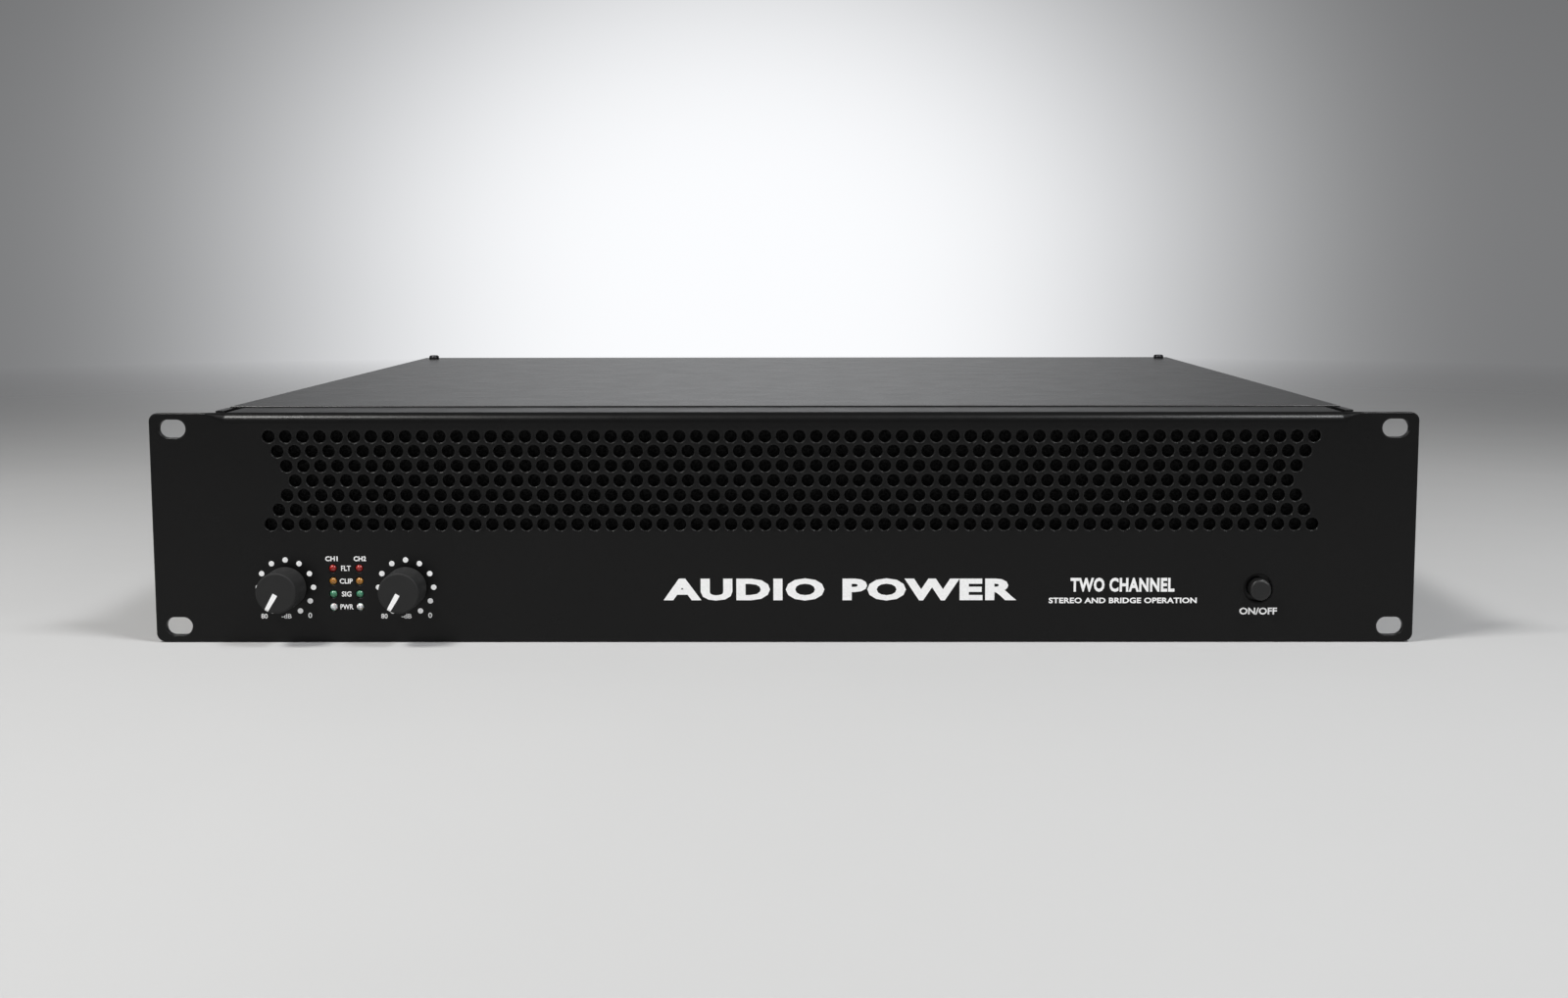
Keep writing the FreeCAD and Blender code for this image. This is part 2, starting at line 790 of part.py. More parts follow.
def top_cover():
    body = new_body("top_cover")
    outer = "(dims.body_width / 2)"
    inner = f"({outer} - dims.metal)"
    top = "dims.cover_top"
    under = "(dims.cover_top - dims.metal)"
    skirt = "(dims.cover_top - dims.cover_flange)"
    front = "(dims.flange_depth + dims.cover_gap)"
    sketch = new_sketch(body, "cover_channel", "XZ_Plane", f"-{front}")
    add_polygon(sketch, [(f"-{outer}", top), (f"-{outer}", skirt), (f"-{inner}", skirt),
                         (f"-{inner}", under), (inner, under), (inner, skirt),
                         (outer, skirt), (outer, top)])
    pad(body, sketch, f"dims.body_depth - {front}")

    high = size("cover_top")
    fillet(body, "dims.bend_radius",
           lambda edge: along(edge, BACKWARDS) and near(edge.CenterOfMass.z, high))

    side_holes = new_sketch(body, "cover_side_holes", "YZ_Plane")
    for y in SIDE_SCREW_Y:
        add_circle(side_holes, y, "dims.side_screw_z", "dims.screw_hole_radius")
    pocket(body, side_holes)
    top_holes = new_sketch(body, "cover_top_holes", "XY_Plane", top)
    for side in (-1, 1):
        add_circle(top_holes, f"{side} * dims.top_screw_x", "dims.top_screw_y", "dims.screw_hole_radius")
    pocket(body, top_holes, "6 * dims.metal")
    return keep(body, "top_cover")


def rear_panel():
    body = new_body("rear_panel")
    outer = "(dims.body_width / 2 - dims.metal - dims.fit_gap)"
    floor = "(-dims.panel_height / 2)"
    top = "(dims.cover_top - dims.metal - dims.fit_gap)"
    front = "(dims.body_depth - dims.metal)"
    plate = new_sketch(body, "rear_plate", "XZ_Plane", f"-{front}")
    add_rectangle(plate, f"-{outer}", floor, f"2 * {outer}", f"{top} - {floor}")
    pad(body, plate, "dims.metal")

    return_length = "dims.rear_return + dims.metal / 2"
    returns = new_sketch(body, "rear_returns", "YZ_Plane")
    add_rectangle(returns, f"{front} - dims.rear_return", f"{top} - dims.metal", return_length, "dims.metal")
    pad(body, returns, f"2 * ({outer} - dims.metal - dims.return_end_gap)", symmetric=True)
    foot = new_sketch(body, "rear_foot", "YZ_Plane")
    add_rectangle(foot, f"{front} - dims.rear_return", f"{floor} + dims.metal", return_length, "dims.metal")
    pad(body, foot, f"2 * ({outer} - dims.rear_strip - dims.return_end_gap)", symmetric=True)

    holes = new_sketch(body, "rear_holes", "XZ_Plane", f"-{front}")
    for side in (-1, 1):
        add_circle(holes, f"{side} * dims.fan_x", 0, "dims.fan_bore_radius")
        for across, level in FOUR_CORNERS:
            add_circle(holes, f"{side} * dims.fan_x + {across} * dims.fan_screw_spacing / 2",
                       f"{level} * dims.fan_screw_spacing / 2", "dims.fan_screw_hole_radius")
        for z in REAR_SCREW_Z:
            add_circle(holes, f"{side} * ({outer} - dims.rear_strip / 2)", z, "dims.screw_hole_radius")
        add_circle(holes, f"dims.inlet_x + {side} * dims.inlet_screw_x", "dims.inlet_z",
                   "dims.screw_hole_radius")
    for level in (-1, 1):
        z = f"{level} * dims.channel_z"
        for x in ("dims.speaker_x", "dims.input_x"):
            add_circle(holes, x, z, "dims.socket_body_radius + dims.fit_gap")
            for corner in (-1, 1):
                add_circle(holes, f"{x} + {corner} * dims.socket_screw_x",
                           f"{z} + {corner} * dims.socket_screw_z", "dims.screw_hole_radius")
        add_circle(holes, "dims.jack_x", z, "dims.jack_hole_radius")
    add_circle(holes, "dims.breaker_x", "dims.breaker_z", "dims.breaker_hole_radius")
    pocket(body, holes, "4 * dims.metal")

    windows = new_sketch(body, "rear_windows", "XZ_Plane", f"-{front}")
    inlet_width = "(dims.inlet_case_width + 2 * dims.fit_gap)"
    inlet_height = "(dims.inlet_case_height + 2 * dims.fit_gap)"
    add_rectangle(windows, f"dims.inlet_x - {inlet_width} / 2", f"dims.inlet_z - {inlet_height} / 2",
                  inlet_width, inlet_height)
    add_rectangle(windows, "dims.mode_x - dims.mode_window_width / 2", "-dims.mode_window_height / 2",
                  "dims.mode_window_width", "dims.mode_window_height")
    pocket(body, windows, "4 * dims.metal")

    top_holes = new_sketch(body, "rear_return_holes", "XY_Plane", top)
    for side in (-1, 1):
        add_circle(top_holes, f"{side} * dims.top_screw_x", "dims.top_screw_y", "dims.screw_hole_radius")
    pocket(body, top_holes, "6 * dims.metal")
    foot_holes = new_sketch(body, "rear_foot_holes", "XY_Plane", floor)
    for x in REAR_FOOT_X:
        add_circle(foot_holes, x, "dims.top_screw_y", "dims.screw_hole_radius")
    pocket(body, foot_holes, "8 * dims.metal")
    return keep(body, "rear_panel")


def dust_filter():
    foam = box("filter_foam", ("dims.grille_x - dims.filter_width / 2",
                               "dims.panel_thickness + dims.filter_gap", "dims.filter_low_z"),
               ("dims.filter_width", "dims.filter_thickness", "dims.filter_height"))
    return keep(foam, "dust_filter")


# ---------------------------------------------------------------- fasteners

def pan_screw(name, head_radius, head_height, radius, length):
    """A cross-recessed pan-head screw along Z: head above the origin, shank below."""
    dome_share = 0.55
    recess_share = 0.6
    recess_length = f"1.15 * {head_radius}"
    recess_width = f"0.24 * {head_radius}"
    head = cylinder(f"{name}_head", (0, 0, 0), "z", head_radius, head_height)
    doc.recompute()
    top = head.Shape.BoundBox.ZMax
    domed = round_edges(f"{name}_dome", head, dome_share * top,
                        lambda edge: near(edge.CenterOfMass.z, top) and edge.Closed)
    shank = cylinder(f"{name}_shank", (0, 0, f"-({length})"), "z", radius, f"({length}) + {head_height} / 4")
    blank = fuse(f"{name}_blank", [domed, shank])
    bars = []
    for word, across, along_y in (("a", recess_length, recess_width), ("b", recess_width, recess_length)):
        corner = (f"-{across} / 2", f"-{along_y} / 2", f"{head_height} * (1 - {recess_share})")
        bars.append(box(f"{name}_bar_{word}", corner, (across, along_y, head_height)))
    return cut(name, blank, bars)


def countersunk_screw():
    """A flat-head screw along Z with its head on the origin, cross recess below."""
    recess_reach = 1.7
    recess_half_width = 0.35
    recess_low = -1.0
    recess_height = 1.8
    head = cone("floor_screw_head", (0, 0, 0), "z", "dims.screw_head_radius", "dims.screw_radius", "dims.metal")
    shank = cylinder("floor_screw_shank", (0, 0, "dims.metal / 2"), "z", "dims.screw_radius",
                     "dims.floor_screw_length")
    bars = []
    for word, across, along_y in (("a", recess_reach, recess_half_width),
                                  ("b", recess_half_width, recess_reach)):
        bars.append(box(f"floor_screw_bar_{word}", (-across, -along_y, recess_low),
                        (2 * across, 2 * along_y, recess_height)))
    return cut("floor_screw", fuse("floor_screw_blank", [head, shank]), bars)


def turned(x, y, z, direction):
    """A placement that points local +Z along the direction."""
    return Placement(Vector(x, y, z), Rotation(Vector(0, 0, 1), Vector(*direction)))


def casing_screws():
    small = pan_screw("case_screw", "dims.screw_head_radius", "dims.screw_head_height",
                      "dims.screw_radius", "dims.screw_length")
    half = size("body_width") / 2
    places = []
    for side in (-1, 1):
        places.append(turned(side * size("top_screw_x"), size("top_screw_y"), size("cover_top"), (0, 0, 1)))
        for y in SIDE_SCREW_Y:
            places.append(turned(side * half, y, size("side_screw_z"), (side, 0, 0)))
    keep(copies("cover_screws", small, places), "cover_screws")

    outer = half - size("metal") - size("fit_gap")
    places = []
    for side in (-1, 1):
        for z in REAR_SCREW_Z:
            places.append(turned(side * (outer - size("rear_strip") / 2), size("body_depth"), z, (0, 1, 0)))
    keep(copies("rear_panel_screws", small, places), "rear_panel_screws")

    places = []
    for corner in (-1, 1):
        for x in (size("speaker_x"), size("input_x")):
            for level in (-1, 1):
                places.append(turned(x + corner * size("socket_screw_x"),
                                     size("body_depth") + size("socket_flange"),
                                     level * size("channel_z") + corner * size("socket_screw_z"), (0, 1, 0)))
        places.append(turned(size("inlet_x") + corner * size("inlet_screw_x"),
                             size("body_depth") + size("inlet_flange_depth"), size("inlet_z"), (0, 1, 0)))
    keep(copies("connector_screws", small, places), "connector_screws")

    fan_screw = pan_screw("fan_screw", "dims.fan_screw_head_radius", "dims.fan_screw_head_height",
                          "dims.fan_screw_radius", "dims.fan_screw_length")
    reach = size("fan_screw_spacing") / 2
    eye = size("body_depth") + 2 * size("guard_wire_radius")
    places = []
    for side in (-1, 1):
        for across, level in FOUR_CORNERS:
            places.append(turned(side * size("fan_x") + across * reach, eye, level * reach, (0, 1, 0)))
    keep(copies("fan_screws", fan_screw, places), "fan_screws")

    nut = cut("stud_nut", hexagon("stud_nut_hex", (0, 0, 0), "z", "dims.nut_across_flats", "dims.nut_height"),
              [cylinder("stud_nut_bore", (0, 0, "-dims.overrun"), "z", "dims.stud_radius + dims.thread_gap",
                        "dims.nut_height + 2 * dims.overrun")])
    seat = size("panel_thickness") + size("metal")
    keep(copies("panel_nuts", nut, [turned(x, seat, z, (0, 1, 0)) for x, z in FRONT_STUDS]), "panel_nuts")

    low = -size("panel_height") / 2
    places = [turned(x, y, low, (0, 0, 1)) for x, y in floor_screw_places()]
    keep(copies("floor_screws", countersunk_screw(), places), "floor_screws")


# ---------------------------------------------------------------- front controls

def level_control(side):
    """Knob and shaft of one channel, each built about its own axis on the origin."""
    centre_x = "dims.knob_left_x" if side == 1 else "dims.knob_right_x"
    body = new_body(f"knob_{side}")
    profile = new_sketch(body, f"knob_{side}_profile", "XY_Plane")
    back = "-dims.knob_gap"
    face = "(-dims.knob_gap - dims.knob_length)"
    recess = f"({back} - dims.knob_recess_depth)"
    socket_end = f"({face} + dims.knob_face_wall)"
    add_polygon(profile, [("dims.knob_recess_radius", back), ("dims.knob_base_radius", back),
                          ("dims.knob_base_radius", f"{back} - dims.knob_skirt"),
                          ("dims.knob_face_radius", face), (0, face), (0, socket_end),
                          ("dims.shaft_radius", socket_end), ("dims.shaft_radius", recess),
                          ("dims.knob_recess_radius", recess)])
    revolve(body, profile)
    face_y = -size("knob_gap") - size("knob_length")
    fillet(body, "dims.knob_edge", lambda edge: edge.Closed and near(edge.CenterOfMass.y, face_y))
    bind(body, "Placement.Base.x", centre_x)
    bind(body, "Placement.Base.z", "dims.knob_z")
    keep(body, f"level_knob_{side}")

    shaft = cylinder(f"shaft_{side}", (centre_x, socket_end, "dims.knob_z"), "y", "dims.shaft_radius",
                     f"dims.pot_front + dims.shaft_seat - {socket_end}")
    keep(shaft, f"level_shaft_{side}")


def level_pots():
    pots = []
    nuts = []
    bore_front = "(-dims.bushing_proud - dims.overrun)"
    for side, x in ((1, "dims.knob_left_x"), (2, "dims.knob_right_x")):
        can = cylinder(f"pot_can_{side}", (x, "dims.pot_front", "dims.knob_z"), "y", "dims.pot_radius",
                       "dims.pot_depth")
        bushing = cylinder(f"pot_bushing_{side}", (x, "-dims.bushing_proud", "dims.knob_z"), "y",
                           "dims.bushing_radius", "dims.pot_front + dims.bushing_proud")
        bore = cylinder(f"pot_bore_{side}", (x, bore_front, "dims.knob_z"), "y",
                        "dims.shaft_radius + dims.shaft_clearance",
                        f"dims.pot_front + dims.shaft_seat + dims.shaft_end_gap - {bore_front}")
        pots.append(cut(f"pot_{side}", fuse(f"pot_blank_{side}", [can, bushing]), [bore]))
        blank = hexagon(f"pot_nut_hex_{side}", (x, "-dims.pot_nut_height", "dims.knob_z"), "y",
                        "dims.pot_nut_across_flats", "dims.pot_nut_height")
        hole = cylinder(f"pot_nut_bore_{side}", (x, "-dims.pot_nut_height - dims.overrun", "dims.knob_z"), "y",
                        "dims.bushing_radius + dims.thread_gap", "dims.pot_nut_height + 2 * dims.overrun")
        nuts.append(cut(f"pot_nut_{side}", blank, [hole]))
    keep(compound("level_pots", pots), "level_pots")
    keep(compound("pot_nuts", nuts), "pot_nuts")


def status_leds():
    tip_y = "(dims.led_radius - dims.led_proud)"
    for row, colour in enumerate(LED_ROWS):
        lamps = []
        z = f"dims.led_top_z - {row} * dims.led_step"
        for side, x in ((1, "dims.led_left_x"), (2, "dims.led_right_x")):
            name = f"led_{colour}_{side}"
            ball = doc.addObject("Part::Sphere", f"{name}_tip")
            bind(ball, "Radius", "dims.led_radius")
            place(ball, x, tip_y, z)
            barrel = cylinder(f"{name}_barrel", (x, tip_y, z), "y", "dims.led_radius",
                              f"dims.led_back - {tip_y}")
            rim = cylinder(f"{name}_rim", (x, "dims.led_back - dims.led_rim_depth", z), "y",
                           "dims.led_radius + dims.led_rim", "dims.led_rim_depth")
            legs = [cylinder(f"{name}_leg_{number}", (f"{x} + {sign} * dims.led_leg_offset",
                                                      "dims.led_leg_front", z),
                             "y", "dims.led_leg_radius", "dims.led_leg_length")
                    for number, sign in enumerate((-1, 1), start=1)]
            lamps.append(fuse(name, [ball, barrel, rim] + legs))
        keep(compound(f"leds_{colour}", lamps), f"leds_{colour}")


def level_board():
    left = "dims.knob_left_x - dims.level_board_margin"
    width = "dims.knob_right_x - dims.knob_left_x + 2 * dims.level_board_margin"
    board = box("level_board", (left, "dims.pot_front + dims.pot_depth", "dims.level_board_low_z"),
                (width, "dims.board_thickness", "dims.level_board_height"))
    return keep(board, "level_board")


def power_button():
    """The button with its collar and stem, as one turned piece."""
    body = new_body("button")
    profile = new_sketch(body, "button_profile", "XY_Plane")
    front = "(-dims.button_proud)"
    collar = "(dims.button_radius + dims.button_collar)"
    stem_end = "(dims.switch_front + dims.button_stem_seat)"
    add_polygon(profile, [(0, front), ("dims.button_radius - dims.button_chamfer", front),
                          ("dims.button_radius", f"{front} + dims.button_chamfer_depth"),
                          ("dims.button_radius", "dims.button_collar_front"),
                          (collar, "dims.button_collar_front"), (collar, "dims.button_collar_back"),
                          ("dims.button_stem_radius", "dims.button_collar_back"),
                          ("dims.button_stem_radius", stem_end), (0, stem_end)])
    revolve(body, profile)
    chamfer_end = -size("button_proud") + size("button_chamfer_depth")
    fillet(body, "dims.button_edge",
           lambda edge: edge.Closed and edge.CenterOfMass.y < chamfer_end + size("button_edge") / 4)
    bind(body, "Placement.Base.x", "dims.button_x")
    bind(body, "Placement.Base.z", "dims.button_z")
    keep(body, "power_button")


def power_switch():
    x, z = "dims.button_x", "dims.button_z"
    tab_offset = 4.5
    tab_width = 0.8
    tab_length = 9
    tab_height = 5
    solids = [centred_box("switch_case", x, z, "dims.switch_front", "dims.switch_size", "dims.switch_depth",
                          "dims.switch_size"),
              centred_box("switch_plate", x, z, "dims.switch_front", "dims.switch_plate_width",
                          "dims.switch_plate_depth", "dims.switch_plate_height")]
    for number, sign in enumerate((-1, 1), start=1):
        solids.append(cylinder(f"switch_post_{number}", (f"{x} + {sign} * dims.switch_post_offset",
                                                         "dims.panel_thickness", z),
                               "y", "dims.switch_post_radius",
                               "dims.switch_front - dims.panel_thickness + dims.overrun"))
        solids.append(centred_box(f"switch_tab_{number}", f"{x} + {sign * tab_offset}", z,
                                  "dims.switch_front + dims.switch_depth - dims.overrun",
                                  tab_width, tab_length, tab_height))
    bore = cylinder("switch_bore", (x, "dims.switch_front - dims.overrun", z), "y",
                    "dims.button_stem_radius + dims.button_stem_gap",
                    "dims.overrun + dims.switch_bore_depth + dims.button_travel")
    keep(cut("power_switch", fuse("switch_blank", solids), [bore]), "power_switch")


def switch_spring():
    """An open coil around the button's stem, as straight runs with mitred bends."""
    coil_radius = 3.4
    wire_radius = 0.3
    coil_pitch = 1.9
    coil_turns = 4
    bends_per_turn = 12
    bends = []
    for k in range(coil_turns * bends_per_turn + 1):
        angle = 2 * math.pi * k / bends_per_turn
        bends.append(Vector(coil_radius * math.cos(angle), coil_pitch * k / bends_per_turn,
                            coil_radius * math.sin(angle)))
    coil = doc.addObject("Part::Polygon", "spring_path")
    coil.Nodes = bends
    wire_section = doc.addObject("Part::Circle", "spring_section")
    wire_section.Radius = wire_radius
    wire_section.Placement = Placement(bends[0], Rotation(Vector(0, 0, 1), bends[1] - bends[0]))
    spring = doc.addObject("Part::Sweep", "switch_spring")
    spring.Sections = [wire_section]
    spring.Spine = (coil, [])
    spring.Solid = True
    spring.Frenet = False
    spring.Transition = "Right corner"
    place(spring, "dims.button_x", "dims.button_collar_back + dims.spring_gap", "dims.button_z")
    keep(spring, "switch_spring")


# ---------------------------------------------------------------- power supply

def transformer():
    """A ring core inside its winding, held by pads, a clamp plate and one bolt."""
    floor = "(-dims.panel_height / 2 + dims.metal)"
    x, y = 0, "dims.toroid_y"
    low = f"({floor} + dims.pad_thickness)"
    ring = cylinder("winding_outer", (x, y, low), "z", "dims.toroid_radius", "dims.toroid_height")
    rounded = round_edges("winding_rounded", ring, size("toroid_edge"), lambda edge: edge.Closed)
    bore = cylinder("winding_bore", (x, y, f"{low} - dims.overrun"), "z", "dims.toroid_bore_radius",
                    "dims.toroid_height + 2 * dims.overrun")
    middle = f"({low} + (dims.toroid_height - dims.core_height) / 2)"
    core = washer("core_ring", (x, y, middle), "dims.core_radius", "dims.core_bore_radius", "dims.core_height")
    keep(core, "transformer_core")
    room = washer("winding_room", (x, y, f"({middle} - dims.core_wrap)"), "(dims.core_radius + dims.core_wrap)",
                  "(dims.core_bore_radius - dims.core_wrap)", "(dims.core_height + 2 * dims.core_wrap)")
    keep(cut("winding", rounded, [bore, room]), "transformer_winding")

    top = f"({low} + dims.toroid_height)"
    pads = [washer(f"pad_{word}", (x, y, height), "dims.pad_radius", "dims.pad_bore_radius",
                   "dims.pad_thickness")
            for word, height in (("low", floor), ("high", top))]
    keep(compound("transformer_pads", pads), "transformer_pads")

    seat = f"({top} + dims.pad_thickness)"
    plate = washer("clamp_plate", (x, y, seat), "dims.clamp_radius",
                   "(dims.toroid_bolt_radius + dims.toroid_bolt_gap)", "dims.clamp_thickness")
    keep(plate, "transformer_plate")

    rod = cylinder("toroid_rod", (x, y, "-dims.panel_height / 2"), "z", "dims.toroid_bolt_radius",
                   f"{seat} + dims.toroid_bolt_end + dims.panel_height / 2")
    nut_low = f"({seat} + dims.clamp_thickness)"
    blank = hexagon("toroid_nut_hex", (x, y, nut_low), "z", "dims.toroid_nut_across_flats",
                    "dims.toroid_nut_height")
    bore = cylinder("toroid_nut_bore", (x, y, f"{nut_low} - dims.overrun"), "z",
                    "dims.toroid_bolt_radius + dims.thread_gap", "dims.toroid_nut_height + 2 * dims.overrun")
    nut = cut("toroid_nut", blank, [bore])
    keep(compound("transformer_bolt", [rod, nut]), "transformer_bolt")


def power_supply():
    low = "(-dims.panel_height / 2 + dims.metal + dims.spacer_height)"
    board = box("power_board", ("-dims.power_board_width / 2", "dims.power_board_y", low),
                ("dims.power_board_width", "dims.power_board_length", "dims.board_thickness"))
    keep(board, "power_board")
    top = f"({low} + dims.board_thickness)"

    can = cylinder("capacitor_can", (0, 0, 0), "z", "dims.capacitor_radius", "dims.capacitor_height")
    capacitor = round_edges("capacitor", can, size("capacitor_edge"), lambda edge: edge.Closed)
    height = -size("panel_height") / 2 + size("metal") + size("spacer_height") + size("board_thickness")
    places = [Placement(Vector(x, y, height), Rotation()) for x in CAPACITOR_X for y in CAPACITOR_Y]
    keep(copies("filter_capacitors", capacitor, places), "filter_capacitors")

    blocks = [box(f"rectifier_{number}", (x, "dims.rectifier_y", top),
                  ("dims.rectifier_size", "dims.rectifier_size", "dims.rectifier_height"))
              for number, x in enumerate(RECTIFIER_X, start=1)]
    keep(compound("bridge_rectifiers", blocks), "bridge_rectifiers")


def heat_sink(side):
    """An extrusion with its fins down, standing on the tray on two outer walls."""
    sign = -1 if side == 1 else 1
    body = new_body(f"sink_{side}")
    left = f"({sign} * dims.fan_x - dims.sink_width / 2)"
    right = f"({sign} * dims.fan_x + dims.sink_width / 2)"
    floor = "(-dims.panel_height / 2 + dims.metal)"
    base_low = "(dims.sink_top_z - dims.sink_base)"
    start = "-dims.sink_y"
    base = new_sketch(body, f"sink_{side}_base", "XZ_Plane", start)
    add_rectangle(base, left, base_low, "dims.sink_width", "dims.sink_base")
    pad(body, base, "dims.sink_length")
    walls = new_sketch(body, f"sink_{side}_walls", "XZ_Plane", start)
    for wall_left in (left, f"{right} - dims.sink_wall"):
        add_rectangle(walls, wall_left, floor, "dims.sink_wall", f"{base_low} - {floor} + dims.overrun")
    pad(body, walls, "dims.sink_length")
    feet = new_sketch(body, f"sink_{side}_feet", "XZ_Plane", start)
    for foot_left in (left, f"{right} - dims.sink_foot_width"):
        add_rectangle(feet, foot_left, floor, "dims.sink_foot_width", "dims.sink_foot_height")
    pad(body, feet, "dims.sink_length")
    fin = new_sketch(body, f"sink_{side}_fin", "XZ_Plane", start)
    add_rectangle(fin, f"{left} + dims.sink_fin_pitch - dims.sink_fin / 2", f"{floor} + dims.sink_fin_gap",
                  "dims.sink_fin", f"{base_low} - {floor} - dims.sink_fin_gap + dims.overrun / 2")
    first = pad(body, fin, "dims.sink_length")
    fins = body.newObject("PartDesign::LinearPattern", f"sink_{side}_fins")
    fins.Originals = [first]
    fins.Direction = (fin, ["H_Axis"])
    bind(fins, "Length", f"{SINK_FIN_COUNT - 1} * dims.sink_fin_pitch")
    fins.Occurrences = SINK_FIN_COUNT
    body.Tip = fins
    holes = new_sketch(body, f"sink_{side}_holes", "XY_Plane", floor)
    for x in (f"{left} + dims.sink_screw_inset", f"{right} - dims.sink_screw_inset"):
        for y in SINK_SCREW_Y:
            add_circle(holes, x, y, "dims.screw_hole_radius")
    pocket(body, holes, "4 * dims.sink_foot_height")
    keep(body, f"heatsink_{side}")


def output_transistors():
    """Flat packages on both heatsinks, each with three legs."""
    leg_pitch = 5.4
    leg_width = 1.2
    leg_length = 6.2
    leg_root = 0.2
    leg_low = 2.2
    leg_thickness = 0.6
    first_row = 22.0
    row_step = 38.0
    package = box("transistor_package", ("-dims.transistor_width / 2", "-dims.transistor_length / 2", 0),
                  ("dims.transistor_width", "dims.transistor_length", "dims.transistor_height"))
    leg_end = f"-dims.transistor_length / 2 - {leg_length} + {leg_root}"
    legs = [box(f"transistor_leg_{number}", (offset * leg_pitch - leg_width / 2, leg_end, leg_low),
                (leg_width, leg_length, leg_thickness))
            for number, offset in enumerate((-1, 0, 1), start=1)]
    transistor = fuse("transistor", [package] + legs)
    places = []
    for sign in (-1, 1):
        for lateral in (-TRANSISTOR_COLUMN, TRANSISTOR_COLUMN):
            for row in range(TRANSISTOR_ROWS):
                spot = Vector(sign * size("fan_x") + lateral, size("sink_y") + first_row + row_step * row,
                              size("sink_top_z"))
                places.append(Placement(spot, Rotation()))
    keep(copies("output_transistors", transistor, places), "output_transistors")


def amplifier_boards():
    """Each board stands on four posts and carries its small parts as one assembly."""
    posts = ((6, 10), (80, 10), (6, 184), (80, 184))
    post_radius = 3
    post_top = 10.5
    can_places = ((20, 40), (35, 40), (50, 40), (65, 40))
    can_radius = 6
    can_height = 20
    relay_place = (30, 160)
    relay_size = (26, 18, 16)
    coil_place = (43, 125)
    coil_radius = 10
    coil_height = 12
    boards = []
    for side, sign in ((1, -1), (2, 1)):
        left = f"{sign} * dims.fan_x - dims.amp_board_width / 2"
        plate = box(f"amp_board_{side}", (left, "dims.sink_y + dims.amp_board_start", "dims.amp_board_z"),
                    ("dims.amp_board_width", "dims.amp_board_length", "dims.board_thickness"))
        solids = [plate]
        for number, (x, y) in enumerate(posts, start=1):
            foot = (f"{left} + {x}", f"dims.sink_y + {y}", "dims.sink_top_z")
            solids.append(cylinder(f"amp_post_{side}_{number}", foot, "z", post_radius,
                                   f"{post_top} - dims.sink_top_z"))
        for number, (x, y) in enumerate(can_places, start=1):
            foot = (f"{left} + {x}", f"dims.sink_y + {y}", "dims.amp_part_z")
            solids.append(cylinder(f"amp_can_{side}_{number}", foot, "z", can_radius, can_height))
        corner = (f"{left} + {relay_place[0]}", f"dims.sink_y + {relay_place[1]}", "dims.amp_part_z")
        solids.append(box(f"amp_relay_{side}", corner, relay_size))
        foot = (f"{left} + {coil_place[0]}", f"dims.sink_y + {coil_place[1]}", "dims.amp_part_z")
        solids.append(cylinder(f"amp_coil_{side}", foot, "z", coil_radius, coil_height))
        boards.append(fuse(f"amp_assembly_{side}", solids))
    keep(compound("amp_boards", boards), "amp_boards")


# ---------------------------------------------------------------- cooling

def fan_frame(side):
    sign = -1 if side == 1 else 1
    x = f"{sign} * dims.fan_x"
    back = "(dims.body_depth - dims.metal)"
    front = f"({back} - dims.fan_depth)"
    block = centred_box(f"fan_block_{side}", x, 0, front, "dims.fan_size", "dims.fan_depth", "dims.fan_size")
    rounded = round_edges(f"fan_rounded_{side}", block, size("fan_corner"), lambda edge: along(edge, BACKWARDS))
    through = "dims.fan_depth + 2 * dims.overrun"
    cut_front = f"{front} - dims.overrun"
    tools = [cylinder(f"fan_bore_{side}", (x, cut_front, 0), "y", "dims.fan_bore_radius", through)]
    for number, (dx, dz) in enumerate(FOUR_CORNERS, start=1):
        hole = (f"{x} + {dx} * dims.fan_screw_spacing / 2", cut_front, f"{dz} * dims.fan_screw_spacing / 2")
        tools.append(cylinder(f"fan_hole_{side}_{number}", hole, "y", "dims.fan_screw_hole_radius", through))
    shell = cut(f"fan_shell_{side}", rounded, tools)
    mount = cylinder(f"fan_mount_{side}", (x, f"{back} - dims.fan_mount_depth", 0), "y",
                     "dims.fan_hub_radius - dims.overrun", "dims.fan_mount_depth")
    span = "(2 * dims.fan_bore_radius + 2 * dims.overrun)"
    arm_front = f"{back} - dims.fan_arm_depth"
    arms = [centred_box(f"fan_arm_{side}_a", x, 0, arm_front, span, "dims.fan_arm_depth", "dims.fan_arm_width"),
            centred_box(f"fan_arm_{side}_b", x, 0, arm_front, "dims.fan_arm_width", "dims.fan_arm_depth", span)]
    bearing = cylinder(f"fan_bearing_{side}", (x, f"{back} - dims.fan_bearing_depth", 0), "y",
                       "dims.fan_bearing_radius", "dims.fan_bearing_depth + dims.overrun")
    keep(cut(f"fan_frame_{side}", fuse(f"fan_blank_{side}", [shell, mount] + arms), [bearing]),
         f"fan_frame_{side}")


